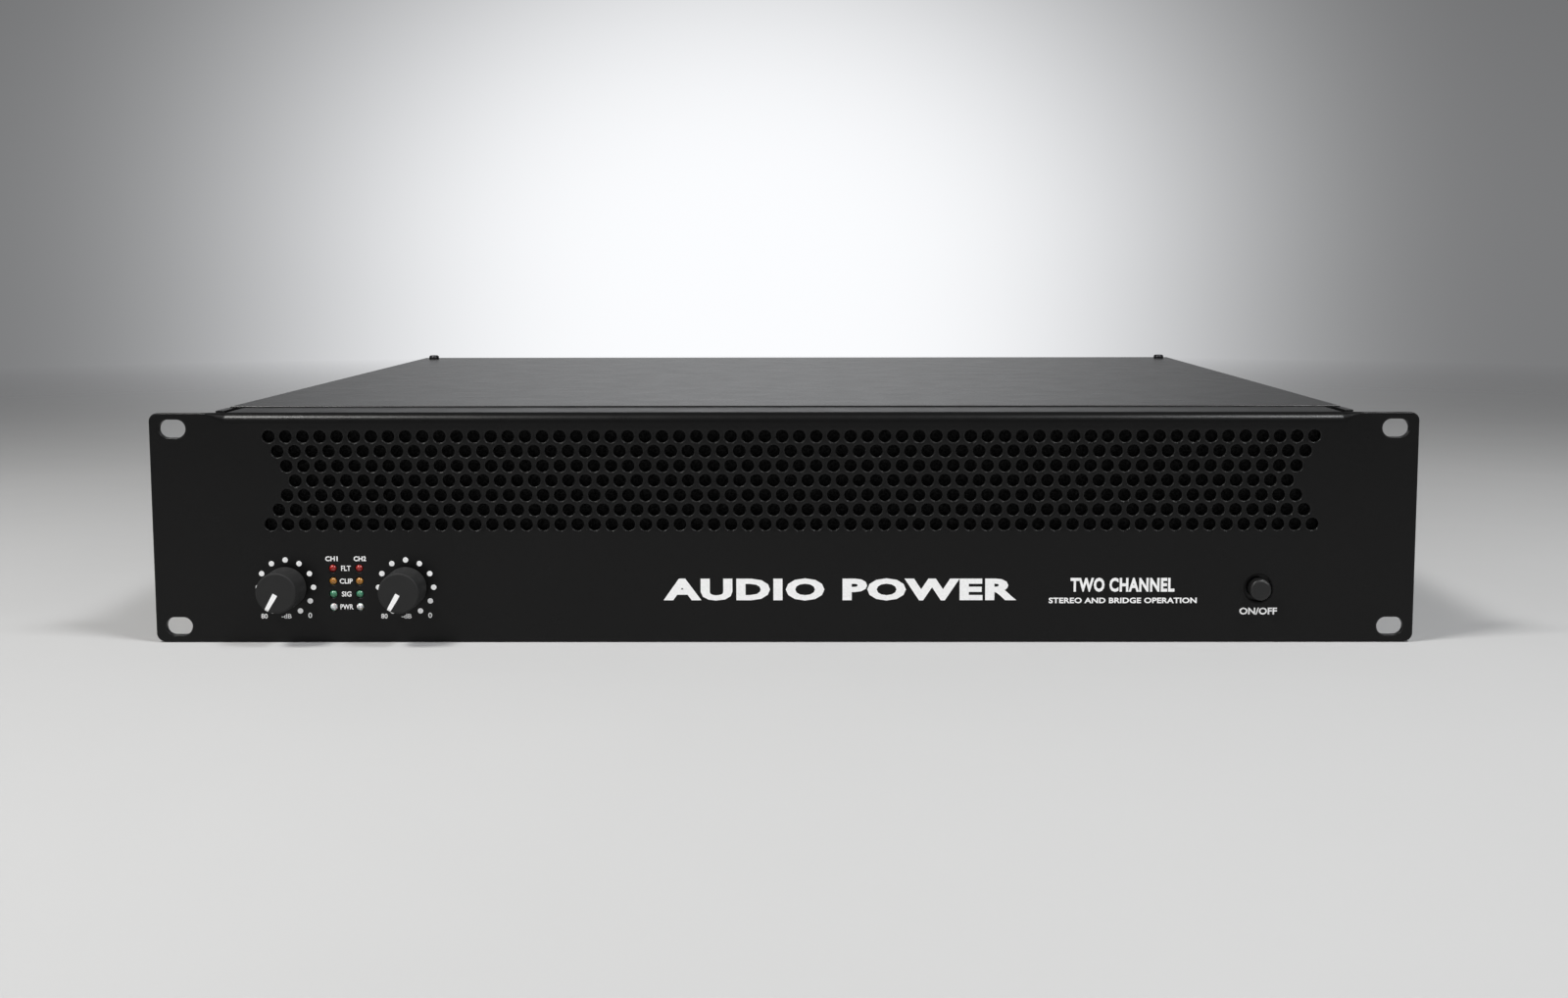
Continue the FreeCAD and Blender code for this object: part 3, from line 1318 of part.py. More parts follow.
def fan_rotor(side):
    """Hub, shaft and seven twisted blades about the Y axis."""
    sign = -1 if side == 1 else 1
    blade_count = 7
    front_gap = 1.5
    back_gap = 4.2
    hub_edge = 1.5
    shaft_length = 4.0
    shaft_root = 1.0
    hub_radius = size("fan_hub_radius")
    blade_radius = size("fan_blade_radius")
    back = size("body_depth") - size("metal")
    front = back - size("fan_depth")
    hub_low = front + front_gap
    hub_high = back - back_gap
    hub = Part.makeCylinder(hub_radius, hub_high - hub_low, Vector(0, hub_low, 0), BACKWARDS)
    rim = [edge for edge in hub.Edges if edge.Closed and near(edge.CenterOfMass.y, hub_low)]
    hub = hub.makeFillet(hub_edge, rim)
    shaft = Part.makeCylinder(size("fan_shaft_radius"), shaft_length,
                              Vector(0, hub_high - shaft_root, 0), BACKWARDS)
    solid = hub.fuse(shaft)
    middle = (hub_low + hub_high) / 2
    root_radius = hub_radius - 1.5
    outer_radius = blade_radius + 2.0
    stations = ((root_radius, 44.0, 19.0), (0.78 * blade_radius, 33.0, 23.0), (outer_radius, 25.0, 26.0))
    sections = [blade_section(radius, pitch, chord, middle) for radius, pitch, chord in stations]
    disc = Part.makeCylinder(blade_radius, size("fan_depth"), Vector(0, front, 0), BACKWARDS)
    blade = Part.makeLoft(sections, True, False).common(disc)
    for number in range(blade_count):
        turned_blade = blade.copy()
        turned_blade.rotate(Vector(), BACKWARDS, number * 360.0 / blade_count)
        solid = solid.fuse(turned_blade)
    rotor = doc.addObject("Part::Feature", f"rotor_{side}")
    rotor.Shape = solid.removeSplitter()
    rotor.Placement = Placement(Vector(sign * size("fan_x"), 0, 0), Rotation())
    keep(rotor, f"fan_rotor_{side}")


def blade_section(radius, pitch, chord, middle):
    """A thin rectangle across the blade at one radius, set at its pitch angle."""
    half_thickness = 0.65
    slope = math.radians(pitch)
    lengthwise = Vector(math.cos(slope), math.sin(slope), 0) * (chord / 2)
    thickness = Vector(-math.sin(slope), math.cos(slope), 0) * half_thickness
    centre = Vector(0, middle, radius)
    corners = [centre - lengthwise - thickness, centre + lengthwise - thickness,
               centre + lengthwise + thickness, centre - lengthwise + thickness]
    return Part.makePolygon(corners + [corners[0]])


def fan_guards():
    guards = []
    wire = "dims.guard_wire_radius"
    reach = size("fan_screw_spacing") / 2
    layer = f"(dims.body_depth + {wire})"
    ring_layer = f"{layer} + dims.guard_ring_lift * {wire}"
    for side, sign in ((1, -1), (2, 1)):
        x = f"{sign} * dims.fan_x"
        wires = []
        for number, radius in enumerate(GUARD_RING_RADII, start=1):
            wires.append(torus(f"guard_ring_{side}_{number}", (x, ring_layer, 0), "y", radius, wire))
        for number, (dx, dz) in enumerate(FOUR_CORNERS, start=1):
            wires.append(guard_leg(f"guard_leg_{side}_{number}", sign, dx, dz))
            eye = (f"{x} + {dx * reach}", layer, dz * reach)
            wires.append(torus(f"guard_eye_{side}_{number}", eye, "y", "dims.guard_eye_radius", wire))
        guards.append(fuse(f"guard_{side}", wires))
    keep(compound("fan_guards", guards), "fan_guards")


def guard_leg(name, sign, dx, dz):
    """A straight wire from near the guard's centre out to one eye."""
    wire = size("guard_wire_radius")
    inner = 7.0
    reach = size("fan_screw_spacing") / 2 - size("guard_eye_radius") * math.sqrt(0.5)
    layer = size("body_depth") + wire
    start = Vector(sign * size("fan_x") + dx * inner, layer, dz * inner)
    end = Vector(sign * size("fan_x") + dx * reach, layer, dz * reach)
    leg = doc.addObject("Part::Cylinder", name)
    leg.Radius = wire
    leg.Height = (end - start).Length
    leg.Placement = Placement(start, Rotation(Vector(0, 0, 1), end - start))
    return leg


# ---------------------------------------------------------------- rear connectors

def mains_inlet():
    x, z = "dims.inlet_x", "dims.inlet_z"
    back = "dims.body_depth"
    flange_corner = 5.0
    cavity_corner = 4.0
    pin_front = 30
    pin_length = 28
    slot_front = 24
    slot_length = 12
    flange = centred_box("inlet_flange", x, z, back, "dims.inlet_flange_width", "dims.inlet_flange_depth",
                         "dims.inlet_flange_height")
    rounded = round_edges("inlet_flange_rounded", flange, flange_corner, lambda edge: along(edge, BACKWARDS))
    case = centred_box("inlet_case", x, z, f"{back} - dims.inlet_case_depth", "dims.inlet_case_width",
                       "dims.inlet_case_depth + dims.overrun / 2", "dims.inlet_case_height")
    room = centred_box("inlet_room", x, z, f"{back} + dims.inlet_flange_depth - dims.inlet_cavity_depth",
                       "dims.inlet_cavity_width", "dims.inlet_cavity_depth + dims.overrun",
                       "dims.inlet_cavity_height")
    keyed = round_edges("inlet_room_keyed", room, cavity_corner,
                        lambda edge: along(edge, BACKWARDS) and edge.CenterOfMass.z > size("inlet_z"))
    tools = [keyed]
    for number, sign in enumerate((-1, 1), start=1):
        tools.append(cylinder(f"inlet_hole_{number}",
                              (f"{x} + {sign} * dims.inlet_screw_x", f"{back} - dims.overrun", z), "y",
                              "dims.screw_hole_radius", "dims.inlet_flange_depth + 2 * dims.overrun"))
    pins = []
    for number, (dx, dz) in enumerate(INLET_PINS, start=1):
        pins.append(centred_box(f"inlet_pin_{number}", f"{x} + {dx}", f"{z} + {dz}", f"{back} - {pin_front}",
                                "dims.inlet_pin_width", pin_length, "dims.inlet_pin_height"))
        tools.append(centred_box(f"inlet_slot_{number}", f"{x} + {dx}", f"{z} + {dz}", f"{back} - {slot_front}",
                                 "dims.inlet_pin_width", slot_length, "dims.inlet_pin_height"))
    keep(cut("inlet_body", fuse("inlet_blank", [rounded, case]), tools), "mains_inlet")
    keep(compound("inlet_pins", pins), "inlet_pins")


def circuit_breaker():
    """A body behind the panel with a threaded neck, its nut, and the reset button."""
    x, z = "dims.breaker_x", "dims.breaker_z"
    back = "dims.body_depth"
    neck_front = 4
    neck_length = 9
    case_front = 34
    case_width = 14
    case_length = 32
    case_height = 30
    bore_front = 12
    bore_length = 20
    neck = cylinder("breaker_neck", (x, f"{back} - {neck_front}", z), "y", "dims.breaker_neck_radius",
                    neck_length)
    case = centred_box("breaker_case", x, z, f"{back} - {case_front}", case_width, case_length, case_height)
    bore = cylinder("breaker_bore", (x, f"{back} - {bore_front}", z), "y", "dims.breaker_bore_radius",
                    bore_length)
    body = cut("breaker_body", fuse("breaker_blank", [neck, case]), [bore])
    blank = hexagon("breaker_nut_hex", (x, back, z), "y", "dims.breaker_nut_across_flats",
                    "dims.breaker_nut_height")
    hole = cylinder("breaker_nut_hole", (x, f"{back} - dims.overrun", z), "y",
                    "dims.breaker_neck_radius + dims.thread_gap", "dims.breaker_nut_height + 2 * dims.overrun")
    nut = cut("breaker_nut", blank, [hole])
    keep(compound("circuit_breaker", [body, nut]), "circuit_breaker")

    seat = 8
    length = 15.5
    edge_radius = 0.8
    cap = cylinder("breaker_rod", (x, f"{back} - {seat}", z), "y", "dims.breaker_button_radius", length)
    cap_y = size("body_depth") - seat + length
    keep(round_edges("breaker_cap", cap, edge_radius,
                     lambda edge: edge.Closed and near(edge.CenterOfMass.y, cap_y)), "breaker_button")


def socket_blank(name, x, z, body_depth):
    """The common chassis socket: a rectangular flange with a round body behind it."""
    back = "dims.body_depth"
    flange = centred_box(f"{name}_flange", x, z, back, "dims.socket_width", "dims.socket_flange",
                         "dims.socket_height")
    rounded = round_edges(f"{name}_rounded", flange, size("socket_corner"), lambda edge: along(edge, BACKWARDS))
    barrel = cylinder(f"{name}_barrel", (x, f"{back} - {body_depth}", z), "y", "dims.socket_body_radius",
                      f"{body_depth} + dims.socket_flange")
    holes = [cylinder(f"{name}_hole_{number}",
                      (f"{x} + {corner} * dims.socket_screw_x", f"{back} - dims.overrun",
                       f"{z} + {corner} * dims.socket_screw_z"), "y",
                      "dims.screw_hole_radius", "dims.socket_flange + 2 * dims.overrun")
             for number, corner in enumerate((-1, 1), start=1)]
    return fuse(f"{name}_blank", [rounded, barrel]), holes


def speaker_sockets():
    """Round sockets with two key slots; each has a slotted centre core."""
    back = "dims.body_depth"
    through = 30
    key_offset = 11.2
    key_width = 4
    key_height = 1.6
    core_slots = ((5.4, 0, 2, 4), (-5.4, 0, 2, 4), (0, 5.4, 4, 2), (0, -5.4, 4, 2))
    slot_front = 16
    bore_front = 12
    cores = []
    for channel, level in CHANNELS:
        name = f"speaker_{channel}"
        x, z = "dims.speaker_x", f"({level} * dims.channel_z)"
        floor = f"{back} - dims.speaker_cup_depth"
        blank, tools = socket_blank(name, x, z, "dims.speaker_depth")
        tools.append(cylinder(f"{name}_cup", (x, floor, z), "y", "dims.speaker_cup_radius", through))
        for number, sign in enumerate((-1, 1), start=1):
            tools.append(centred_box(f"{name}_key_{number}", x, f"{z} + {sign * key_offset}", floor,
                                     key_width, through, key_height))
        keep(cut(f"{name}_socket", blank, tools), f"speaker_socket_{channel}")
        core = cylinder(f"{name}_core", (x, floor, z), "y", "dims.speaker_core_radius",
                        "dims.speaker_core_length")
        cuts = [cylinder(f"{name}_core_bore", (x, f"{back} - {bore_front}", z), "y",
                         "dims.speaker_core_bore_radius", through)]
        for number, (dx, dz, width, height) in enumerate(core_slots, start=1):
            cuts.append(centred_box(f"{name}_slot_{number}", f"{x} + {dx}", f"{z} + {dz}",
                                    f"{back} - {slot_front}", width, through, height))
        cores.append(cut(f"{name}_core_cut", core, cuts))
    keep(compound("speaker_cores", cores), "speaker_cores")


def input_sockets():
    """Round sockets with a three-contact insert and a latch tab above the cup."""
    back = "dims.body_depth"
    through = 30
    contact_front = 14
    insert_length = 21
    window_length = 6
    window_height = 4.4
    window_drop = 0.4
    tab_corner = 0.6
    inserts = []
    for channel, level in CHANNELS:
        name = f"input_{channel}"
        x, z = "dims.input_x", f"({level} * dims.channel_z)"
        floor = f"{back} - dims.input_cup_depth"
        blank, tools = socket_blank(name, x, z, "dims.input_depth")
        tools.append(cylinder(f"{name}_cup", (x, floor, z), "y", "dims.input_cup_radius", through))
        tools.append(centred_box(f"{name}_window", x, f"{z} + dims.latch_z - {window_drop}",
                                 f"{back} + dims.latch_front - dims.latch_gap",
                                 "dims.latch_width + 2 * dims.latch_gap", window_length, window_height))
        keep(cut(f"{name}_socket", blank, tools), f"input_socket_{channel}")
        insert = cylinder(f"{name}_insert", (x, floor, z), "y", "dims.input_insert_radius", insert_length)
        contacts = []
        for number, (dx, dz) in enumerate(INPUT_CONTACTS, start=1):
            contact = (f"{x} + {dx}", f"{back} - {contact_front}", f"{z} + {dz}")
            contacts.append(cylinder(f"{name}_contact_{number}", contact, "y", "dims.input_contact_radius",
                                     through))
        inserts.append(cut(f"{name}_insert_cut", insert, contacts))
        tab = centred_box(f"{name}_tab", x, f"{z} + dims.latch_z", f"{back} + dims.latch_front",
                          "dims.latch_width", "dims.latch_length", "dims.latch_height")
        keep(round_edges(f"{name}_tab_rounded", tab, tab_corner, lambda edge: along(edge, BACKWARDS)),
             f"input_latch_{channel}")
    keep(compound("input_inserts", inserts), "input_inserts")


def link_jacks():
    """Each jack's case, neck, washer and nut, bored for a round plug."""
    case_size = 15
    case_length = 26
    case_front = 28
    neck_front = 3
    neck_length = 7
    washer_thickness = 0.8
    bore_front = 26
    bore_length = 40
    back = "dims.body_depth"
    jacks = []
    for channel, level in CHANNELS:
        x, z = "dims.jack_x", f"({level} * dims.channel_z)"
        name = f"jack_{channel}"
        solids = [centred_box(f"{name}_case", x, z, f"{back} - {case_front}", case_size, case_length,
                              case_size),
                  cylinder(f"{name}_neck", (x, f"{back} - {neck_front}", z), "y", "dims.jack_neck_radius",
                           neck_length),
                  hexagon(f"{name}_nut", (x, back, z), "y", "dims.jack_nut_across_flats",
                          "dims.jack_nut_height"),
                  cylinder(f"{name}_washer", (x, back, z), "y", "dims.jack_washer_radius", washer_thickness)]
        bore = cylinder(f"{name}_bore", (x, f"{back} - {bore_front}", z), "y", "dims.jack_bore_radius",
                        bore_length)
        jacks.append(cut(f"{name}_cut", fuse(f"{name}_blank", solids), [bore]))
    keep(compound("link_jacks", jacks), "link_jacks")


def mode_switch():
    """A small case behind the panel with a sliding tab in its window."""
    back = "(dims.body_depth - dims.metal)"
    x = "dims.mode_x"
    case_width = 22
    case_length = 8.6
    case_height = 8
    case_front = 9
    room_front = 6
    room_width = 10.6
    room_height = 4.9
    tab_front = 5.4
    tab_length = 7.6
    case = centred_box("mode_case", x, 0, f"{back} - {case_front}", case_width, case_length, case_height)
    room = centred_box("mode_room", x, 0, f"{back} - {room_front}", room_width, case_length, room_height)
    keep(cut("mode_switch_body", case, [room]), "mode_switch")
    tab = centred_box("mode_tab", f"{x} - dims.mode_travel / 2", 0, f"{back} - {tab_front}",
                      "dims.mode_tab_width", tab_length, "dims.mode_tab_height")
    keep(tab, "mode_slider")


def input_board():
    board = box("input_board", ("dims.input_board_x", "dims.input_board_y", "-dims.input_board_height / 2"),
                ("dims.input_board_width", "dims.board_thickness", "dims.input_board_height"))
    return keep(board, "input_board")


# ---------------------------------------------------------------- wiring

def routed_wire(points, radius):
    """A round cable along straight runs joined by tangent arcs."""
    bend_share = 0.45
    edges = []
    previous = points[0]
    for before, corner, after in zip(points, points[1:], points[2:]):
        incoming = (corner - before).normalize()
        outgoing = (after - corner).normalize()
        half_turn = incoming.getAngle(outgoing) / 2
        tangent = bend_share * min((corner - before).Length, (after - corner).Length)
        bend = tangent / math.tan(half_turn)
        start = corner - incoming * tangent
        end = corner + outgoing * tangent
        inward = (outgoing - incoming).normalize()
        centre = corner + inward * (bend / math.cos(half_turn))
        middle = centre - inward * bend
        edges.append(Part.LineSegment(previous, start).toShape())
        edges.append(Part.Arc(start, middle, end).toShape())
        previous = end
    edges.append(Part.LineSegment(previous, points[-1]).toShape())
    path = Part.Wire(edges)
    direction = (points[1] - points[0]).normalize()
    section = Part.Wire(Part.Circle(points[0], direction, radius).toShape())
    return path.makePipeShell([section], True, True)


def wiring_harness():
    """Mains lead to the power switch and the ribbon from the level board to the input board."""
    cable_radius = 2.6
    mains = [Vector(84, 362, -24), Vector(90, 340, -26), Vector(96, 290, -26), Vector(92, 240, -26),
             Vector(96, 200, -26), Vector(98, 158, -26), Vector(108, 118, -26), Vector(146, 84, -25),
             Vector(178, 66, -23.6), Vector(186, 50, -23.6)]
    signal = [Vector(-150, 20.5, -28), Vector(-146, 40, -30), Vector(-128, 84, -33), Vector(-104, 130, -36),
              Vector(-97, 180, -37), Vector(-92, 240, -36), Vector(-97, 300, -34), Vector(-90, 345, -28),
              Vector(-84, 367, -24)]
    members = []
    for number, route in enumerate((mains, signal), start=1):
        cable = doc.addObject("Part::Feature", f"cable_{number}")
        cable.Shape = routed_wire(route, cable_radius)
        members.append(cable)
    keep(compound("wiring_harness", members), "wiring_harness")


# ---------------------------------------------------------------- assembly

def build():
    fill_sheet()
    front_panel()
    chassis_tray()
    top_cover()
    rear_panel()
    dust_filter()
    casing_screws()
    for side in (1, 2):
        level_control(side)
    level_pots()
    status_leds()
    level_board()
    power_button()
    power_switch()
    switch_spring()
    transformer()
    power_supply()
    for side in (1, 2):
        heat_sink(side)
    output_transistors()
    amplifier_boards()
    for side in (1, 2):
        fan_frame(side)
        fan_rotor(side)
    fan_guards()
    mains_inlet()
    circuit_breaker()
    speaker_sockets()
    input_sockets()
    link_jacks()
    mode_switch()
    input_board()
    wiring_harness()
    doc.recompute()


def check_and_export():
    for item in doc.Objects:
        if "Invalid" in item.State or "Error" in item.State:
            raise RuntimeError(f"{item.Name} failed: {item.State}")
    for node in nodes:
        if node.Shape.isNull() or not node.Shape.isValid():
            raise RuntimeError(f"{node.Label} has no valid shape")
    os.makedirs("parts", exist_ok=True)
    for node in nodes:
        node.Shape.exportStep(f"parts/{node.Label}.step")
        print(f"{node.Label}: {len(node.Shape.Solids)} solid(s), {node.Shape.Volume / 1000:.2f} cm3")
    print(f"{len(nodes)} sub-parts")


build()
check_and_export()
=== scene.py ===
import bmesh
import bpy
import json
import math
from mathutils import Matrix, Vector


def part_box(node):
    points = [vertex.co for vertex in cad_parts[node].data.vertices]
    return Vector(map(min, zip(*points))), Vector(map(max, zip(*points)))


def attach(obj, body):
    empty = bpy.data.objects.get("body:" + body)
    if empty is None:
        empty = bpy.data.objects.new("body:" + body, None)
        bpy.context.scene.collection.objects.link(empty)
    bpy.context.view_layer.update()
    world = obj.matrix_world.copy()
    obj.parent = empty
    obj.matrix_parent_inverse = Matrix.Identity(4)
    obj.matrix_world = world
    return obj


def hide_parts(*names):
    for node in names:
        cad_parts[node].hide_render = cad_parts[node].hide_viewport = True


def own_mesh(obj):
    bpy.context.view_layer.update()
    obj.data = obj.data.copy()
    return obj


# Looks of a rack-mounted two-channel power amplifier, around its CAD model.
# Metres; X to the right, Y into the amplifier, Z up.

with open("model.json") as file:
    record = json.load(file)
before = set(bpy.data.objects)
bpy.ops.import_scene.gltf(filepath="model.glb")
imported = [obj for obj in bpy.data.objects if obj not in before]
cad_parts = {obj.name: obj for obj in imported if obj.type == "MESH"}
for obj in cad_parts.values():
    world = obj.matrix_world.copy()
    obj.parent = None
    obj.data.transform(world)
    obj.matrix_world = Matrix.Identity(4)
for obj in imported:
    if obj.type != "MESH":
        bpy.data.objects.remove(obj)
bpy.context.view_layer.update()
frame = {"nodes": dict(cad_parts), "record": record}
nodes = frame["nodes"]

MM = 0.001

# The colour mixing node's colour sockets, which share their names with its other types.
MIX_COLOUR_SOCKETS = (0, 6, 7)
MIX_COLOUR_OUTPUT = 2


# ---------------------------------------------------------------- materials

class Surface:
    """A procedural material in the object's own coordinates, in metres."""

    def __init__(self, name, **constants):
        self.material = bpy.data.materials.new(name)
        self.material.use_nodes = True
        self.tree = self.material.node_tree
        self.shader = self.tree.nodes["Principled BSDF"]
        self.place = self.node("ShaderNodeTexCoord").outputs["Object"]
        self.normal = None
        for socket, value in constants.items():
            self.shader.inputs[socket.replace("_", " ")].default_value = value

    def node(self, kind, **settings):
        made = self.tree.nodes.new(kind)
        for setting, value in settings.items():
            setattr(made, setting, value)
        return made

    def feed(self, socket, value):
        """Set a socket to a constant, or link it to an output."""
        if isinstance(value, bpy.types.NodeSocket):
            self.tree.links.new(value, socket)
        else:
            socket.default_value = value

    def stretched(self, factors):
        mapping = self.node("ShaderNodeMapping")
        self.feed(mapping.inputs["Vector"], self.place)
        mapping.inputs["Scale"].default_value = factors
        return mapping.outputs["Vector"]

    def noise(self, size_mm, detail=3.0, roughness=0.55, stretch=None):
        """Values near 0.5 that vary over about size_mm."""
        texture = self.node("ShaderNodeTexNoise")
        self.feed(texture.inputs["Vector"], self.stretched(stretch) if stretch else self.place)
        texture.inputs["Scale"].default_value = 1.0 / (size_mm * MM)
        texture.inputs["Detail"].default_value = detail
        texture.inputs["Roughness"].default_value = roughness
        return texture.outputs["Fac"]

    def cells(self, size_mm, output="Distance", feature="F1"):
        """Cells of about size_mm: the distance from a centre or an edge, or a colour for each."""
        texture = self.node("ShaderNodeTexVoronoi", feature=feature)
        self.feed(texture.inputs["Vector"], self.place)
        texture.inputs["Scale"].default_value = 1.0 / (size_mm * MM)
        return texture.outputs[output]

    def part(self, axis, vector):
        split = self.node("ShaderNodeSeparateXYZ")
        self.feed(split.inputs[0], vector)
        return split.outputs[axis]

    def combined(self, operation, a, b=0.0):
        made = self.node("ShaderNodeMath", operation=operation)
        self.feed(made.inputs[0], a)
        self.feed(made.inputs[1], b)
        return made.outputs[0]

    def ranged(self, value, low, high, to_low, to_high):
        """Carry the range low to high onto to_low to to_high, and hold it at both ends."""
        made = self.node("ShaderNodeMapRange")
        for socket, item in zip(("Value", "From Min", "From Max", "To Min", "To Max"),
                                (value, low, high, to_low, to_high)):
            self.feed(made.inputs[socket], item)
        return made.outputs[0]

    def mix(self, factor, a, b):
        """Colour a where factor is 0, colour b where it is 1."""
        made = self.node("ShaderNodeMix", data_type="RGBA")
        for socket, item in zip(MIX_COLOUR_SOCKETS, (factor, a, b)):
            self.feed(made.inputs[socket], item)
        return made.outputs[MIX_COLOUR_OUTPUT]

    def rounded_normal(self, radius_mm, samples):
        bevel = self.node("ShaderNodeBevel", samples=samples)
        bevel.inputs["Radius"].default_value = radius_mm * MM
        return bevel.outputs["Normal"]

    def edges(self, radius_mm):
        """1 along sharp edges, 0 on flat faces."""
        agreement = self.node("ShaderNodeVectorMath", operation="DOT_PRODUCT")
        self.feed(agreement.inputs[0], self.rounded_normal(radius_mm, samples=3))
        self.feed(agreement.inputs[1], self.node("ShaderNodeNewGeometry").outputs["True Normal"])
        return self.ranged(agreement.outputs["Value"], 0.985, 0.9, 0.0, 1.0)

    def round_edges(self, radius_mm):
        """Shade sharp edges as if they were rounded. Goes before any bump."""
        self.normal = self.rounded_normal(radius_mm, samples=6)

    def colour(self, value):
        self.feed(self.shader.inputs["Base Color"], value)

    def roughness(self, value):
        self.feed(self.shader.inputs["Roughness"], value)

    def bump(self, height, depth_mm):
        """Relief of depth_mm, over whatever relief there is already."""
        made = self.node("ShaderNodeBump")
        made.inputs["Strength"].default_value = 1.0
        made.inputs["Distance"].default_value = depth_mm * MM
        self.feed(made.inputs["Height"], height)
        if self.normal is not None:
            self.feed(made.inputs["Normal"], self.normal)
        self.normal = made.outputs["Normal"]
        self.feed(self.shader.inputs["Normal"], self.normal)


NEUTRAL = (1.0, 1.0, 1.0)
BLUISH = (1.0, 1.0, 1.04)
REDDISH = (1.03, 1.0, 0.98)


def grey(value, tint=NEUTRAL):
    return (value * tint[0], value * tint[1], value * tint[2], 1.0)


def powder_coat(name, base, level, low_rough, high_rough, peel_mm=0.02, worn=0.04, round_mm=0.0):
    """Fine-textured black powder coat: orange peel, a little dust and lighter worn edges."""
    surface = Surface(name, Specular_IOR_Level=level)
    if round_mm:
        surface.round_edges(round_mm)
    drift = surface.noise(38.0, 3.0)
    speck = surface.noise(0.55, 2.0)
    tone = surface.mix(drift, grey(base * 0.82, BLUISH), grey(base * 1.2, REDDISH))
    dust = surface.ranged(surface.noise(1.7, 6.0, 0.7), 0.63, 0.75, 0.0, 0.35)
    tone = surface.mix(dust, tone, grey(base * 2.2))
    patches = surface.ranged(surface.noise(6.0, 4.0), 0.4, 0.62, 0.1, 0.9)
    wear = surface.combined("MULTIPLY", surface.edges(0.35), patches)
    surface.colour(surface.mix(wear, tone, grey(worn)))
    rough = surface.ranged(surface.noise(14.0, 4.0), 0.3, 0.7, low_rough, high_rough)
    surface.roughness(surface.combined("ADD", rough, surface.ranged(speck, 0.3, 0.7, -0.03, 0.03)))
    surface.bump(surface.noise(1.1, 3.0, 0.6), peel_mm)
    surface.bump(speck, peel_mm * 0.4)
    return surface.material


def moulded(name, base, tint=NEUTRAL, low_rough=0.38, high_rough=0.5, level=0.4, wave_mm=0.01):
    """Moulded plastic with a spark-eroded grain and handling shine."""
    surface = Surface(name, Specular_IOR_Level=level)
    surface.colour(surface.mix(surface.noise(9.0, 3.0), grey(base * 0.88, tint), grey(base * 1.14, tint)))
    surface.roughness(surface.ranged(surface.noise(4.0, 5.0), 0.3, 0.7, low_rough, high_rough))
    surface.bump(surface.cells(0.35), 0.012)
    surface.bump(surface.noise(2.5, 2.0), wave_mm)
    return surface.material


def plated(name, base, tint=NEUTRAL, low_rough=0.2, high_rough=0.34, spangle=0.0, grain_mm=5.0):
    """Plated or bare metal: fine scratches, and spangle where it is zinc."""
    surface = Surface(name, Metallic=1.0)
    tone = surface.mix(surface.noise(12.0, 4.0), grey(base * 0.9, tint), grey(base * 1.06, tint))
    if spangle:
        tone = surface.mix(surface.ranged(surface.cells(grain_mm, "Color"), 0.2, 0.8, 0.0, spangle), tone,
                           grey(base * 0.72, tint))
    surface.colour(tone)
    scratch = surface.noise(1.2, 4.0, 0.7, (1.0, 9.0, 9.0))
    rough = surface.ranged(surface.noise(7.0, 3.0), 0.3, 0.7, low_rough, high_rough)
    surface.roughness(surface.combined("ADD", rough, surface.ranged(scratch, 0.35, 0.65, -0.04, 0.05)))
    surface.bump(scratch, 0.006)
    return surface.material


def brushed(name, base, direction):
    """Extruded aluminium with draw lines along one axis."""
    surface = Surface(name, Metallic=1.0)
    lines = surface.noise(0.5, 3.0, 0.6, direction)
    surface.colour(surface.mix(lines, grey(base * 0.86), grey(base * 1.06)))
    surface.roughness(surface.ranged(lines, 0.3, 0.7, 0.3, 0.46))
    surface.bump(lines, 0.01)
    return surface.material


def open_foam(name):
    """Black filter foam, with pores about a millimetre across, and painted shade darkening each pore towards
    its middle.
    """
    surface = Surface(name, Specular_IOR_Level=0.15)
    pores = surface.cells(1.1)
    # Darker towards each pore's middle, where the relief sinks: painted shade in the pores.
    surface.colour(surface.mix(surface.ranged(pores, 0.1, 0.7, 0.0, 1.0), grey(0.002), grey(0.014)))
    surface.roughness(surface.ranged(pores, 0.0, 0.8, 0.95, 0.8))
    surface.bump(pores, 0.5)
    return surface.material


def lamp_lens(name, colour, tint):
    """An unlit lamp of tinted epoxy: milky inside, glossy skin."""
    surface = Surface(name, Subsurface_Weight=0.3, Subsurface_Scale=0.0008, Coat_Weight=0.25,
                      Coat_Roughness=0.15)
    mottle = surface.ranged(surface.noise(0.9, 2.0), 0.35, 0.65, 0.0, 1.0)
    surface.colour(surface.mix(mottle, colour, tint))
    surface.roughness(surface.ranged(mottle, 0.0, 1.0, 0.16, 0.3))
    surface.bump(surface.noise(0.7, 2.0), 0.01)
    return surface.material


def board(name):
    """Circuit board: copper tracks under a green mask, and bare tinned pads."""
    surface = Surface(name, Specular_IOR_Level=0.5, Coat_Weight=0.3, Coat_Roughness=0.2)
    tracks = surface.ranged(surface.cells(7.0, "Distance", "DISTANCE_TO_EDGE"), 0.06, 0.1, 1.0, 0.0)
    pads = surface.ranged(surface.cells(3.2), 0.16, 0.2, 1.0, 0.0)
    mask = surface.mix(surface.noise(20.0, 2.0), (0.006, 0.05, 0.022, 1.0), (0.01, 0.075, 0.03, 1.0))
    covered = surface.mix(tracks, mask, (0.02, 0.13, 0.05, 1.0))
    surface.colour(surface.mix(pads, covered, (0.6, 0.58, 0.52, 1.0)))
    surface.roughness(surface.ranged(pads, 0.0, 1.0, 0.42, 0.25))
    surface.bump(surface.combined("ADD", tracks, pads), 0.04)
    return surface.material


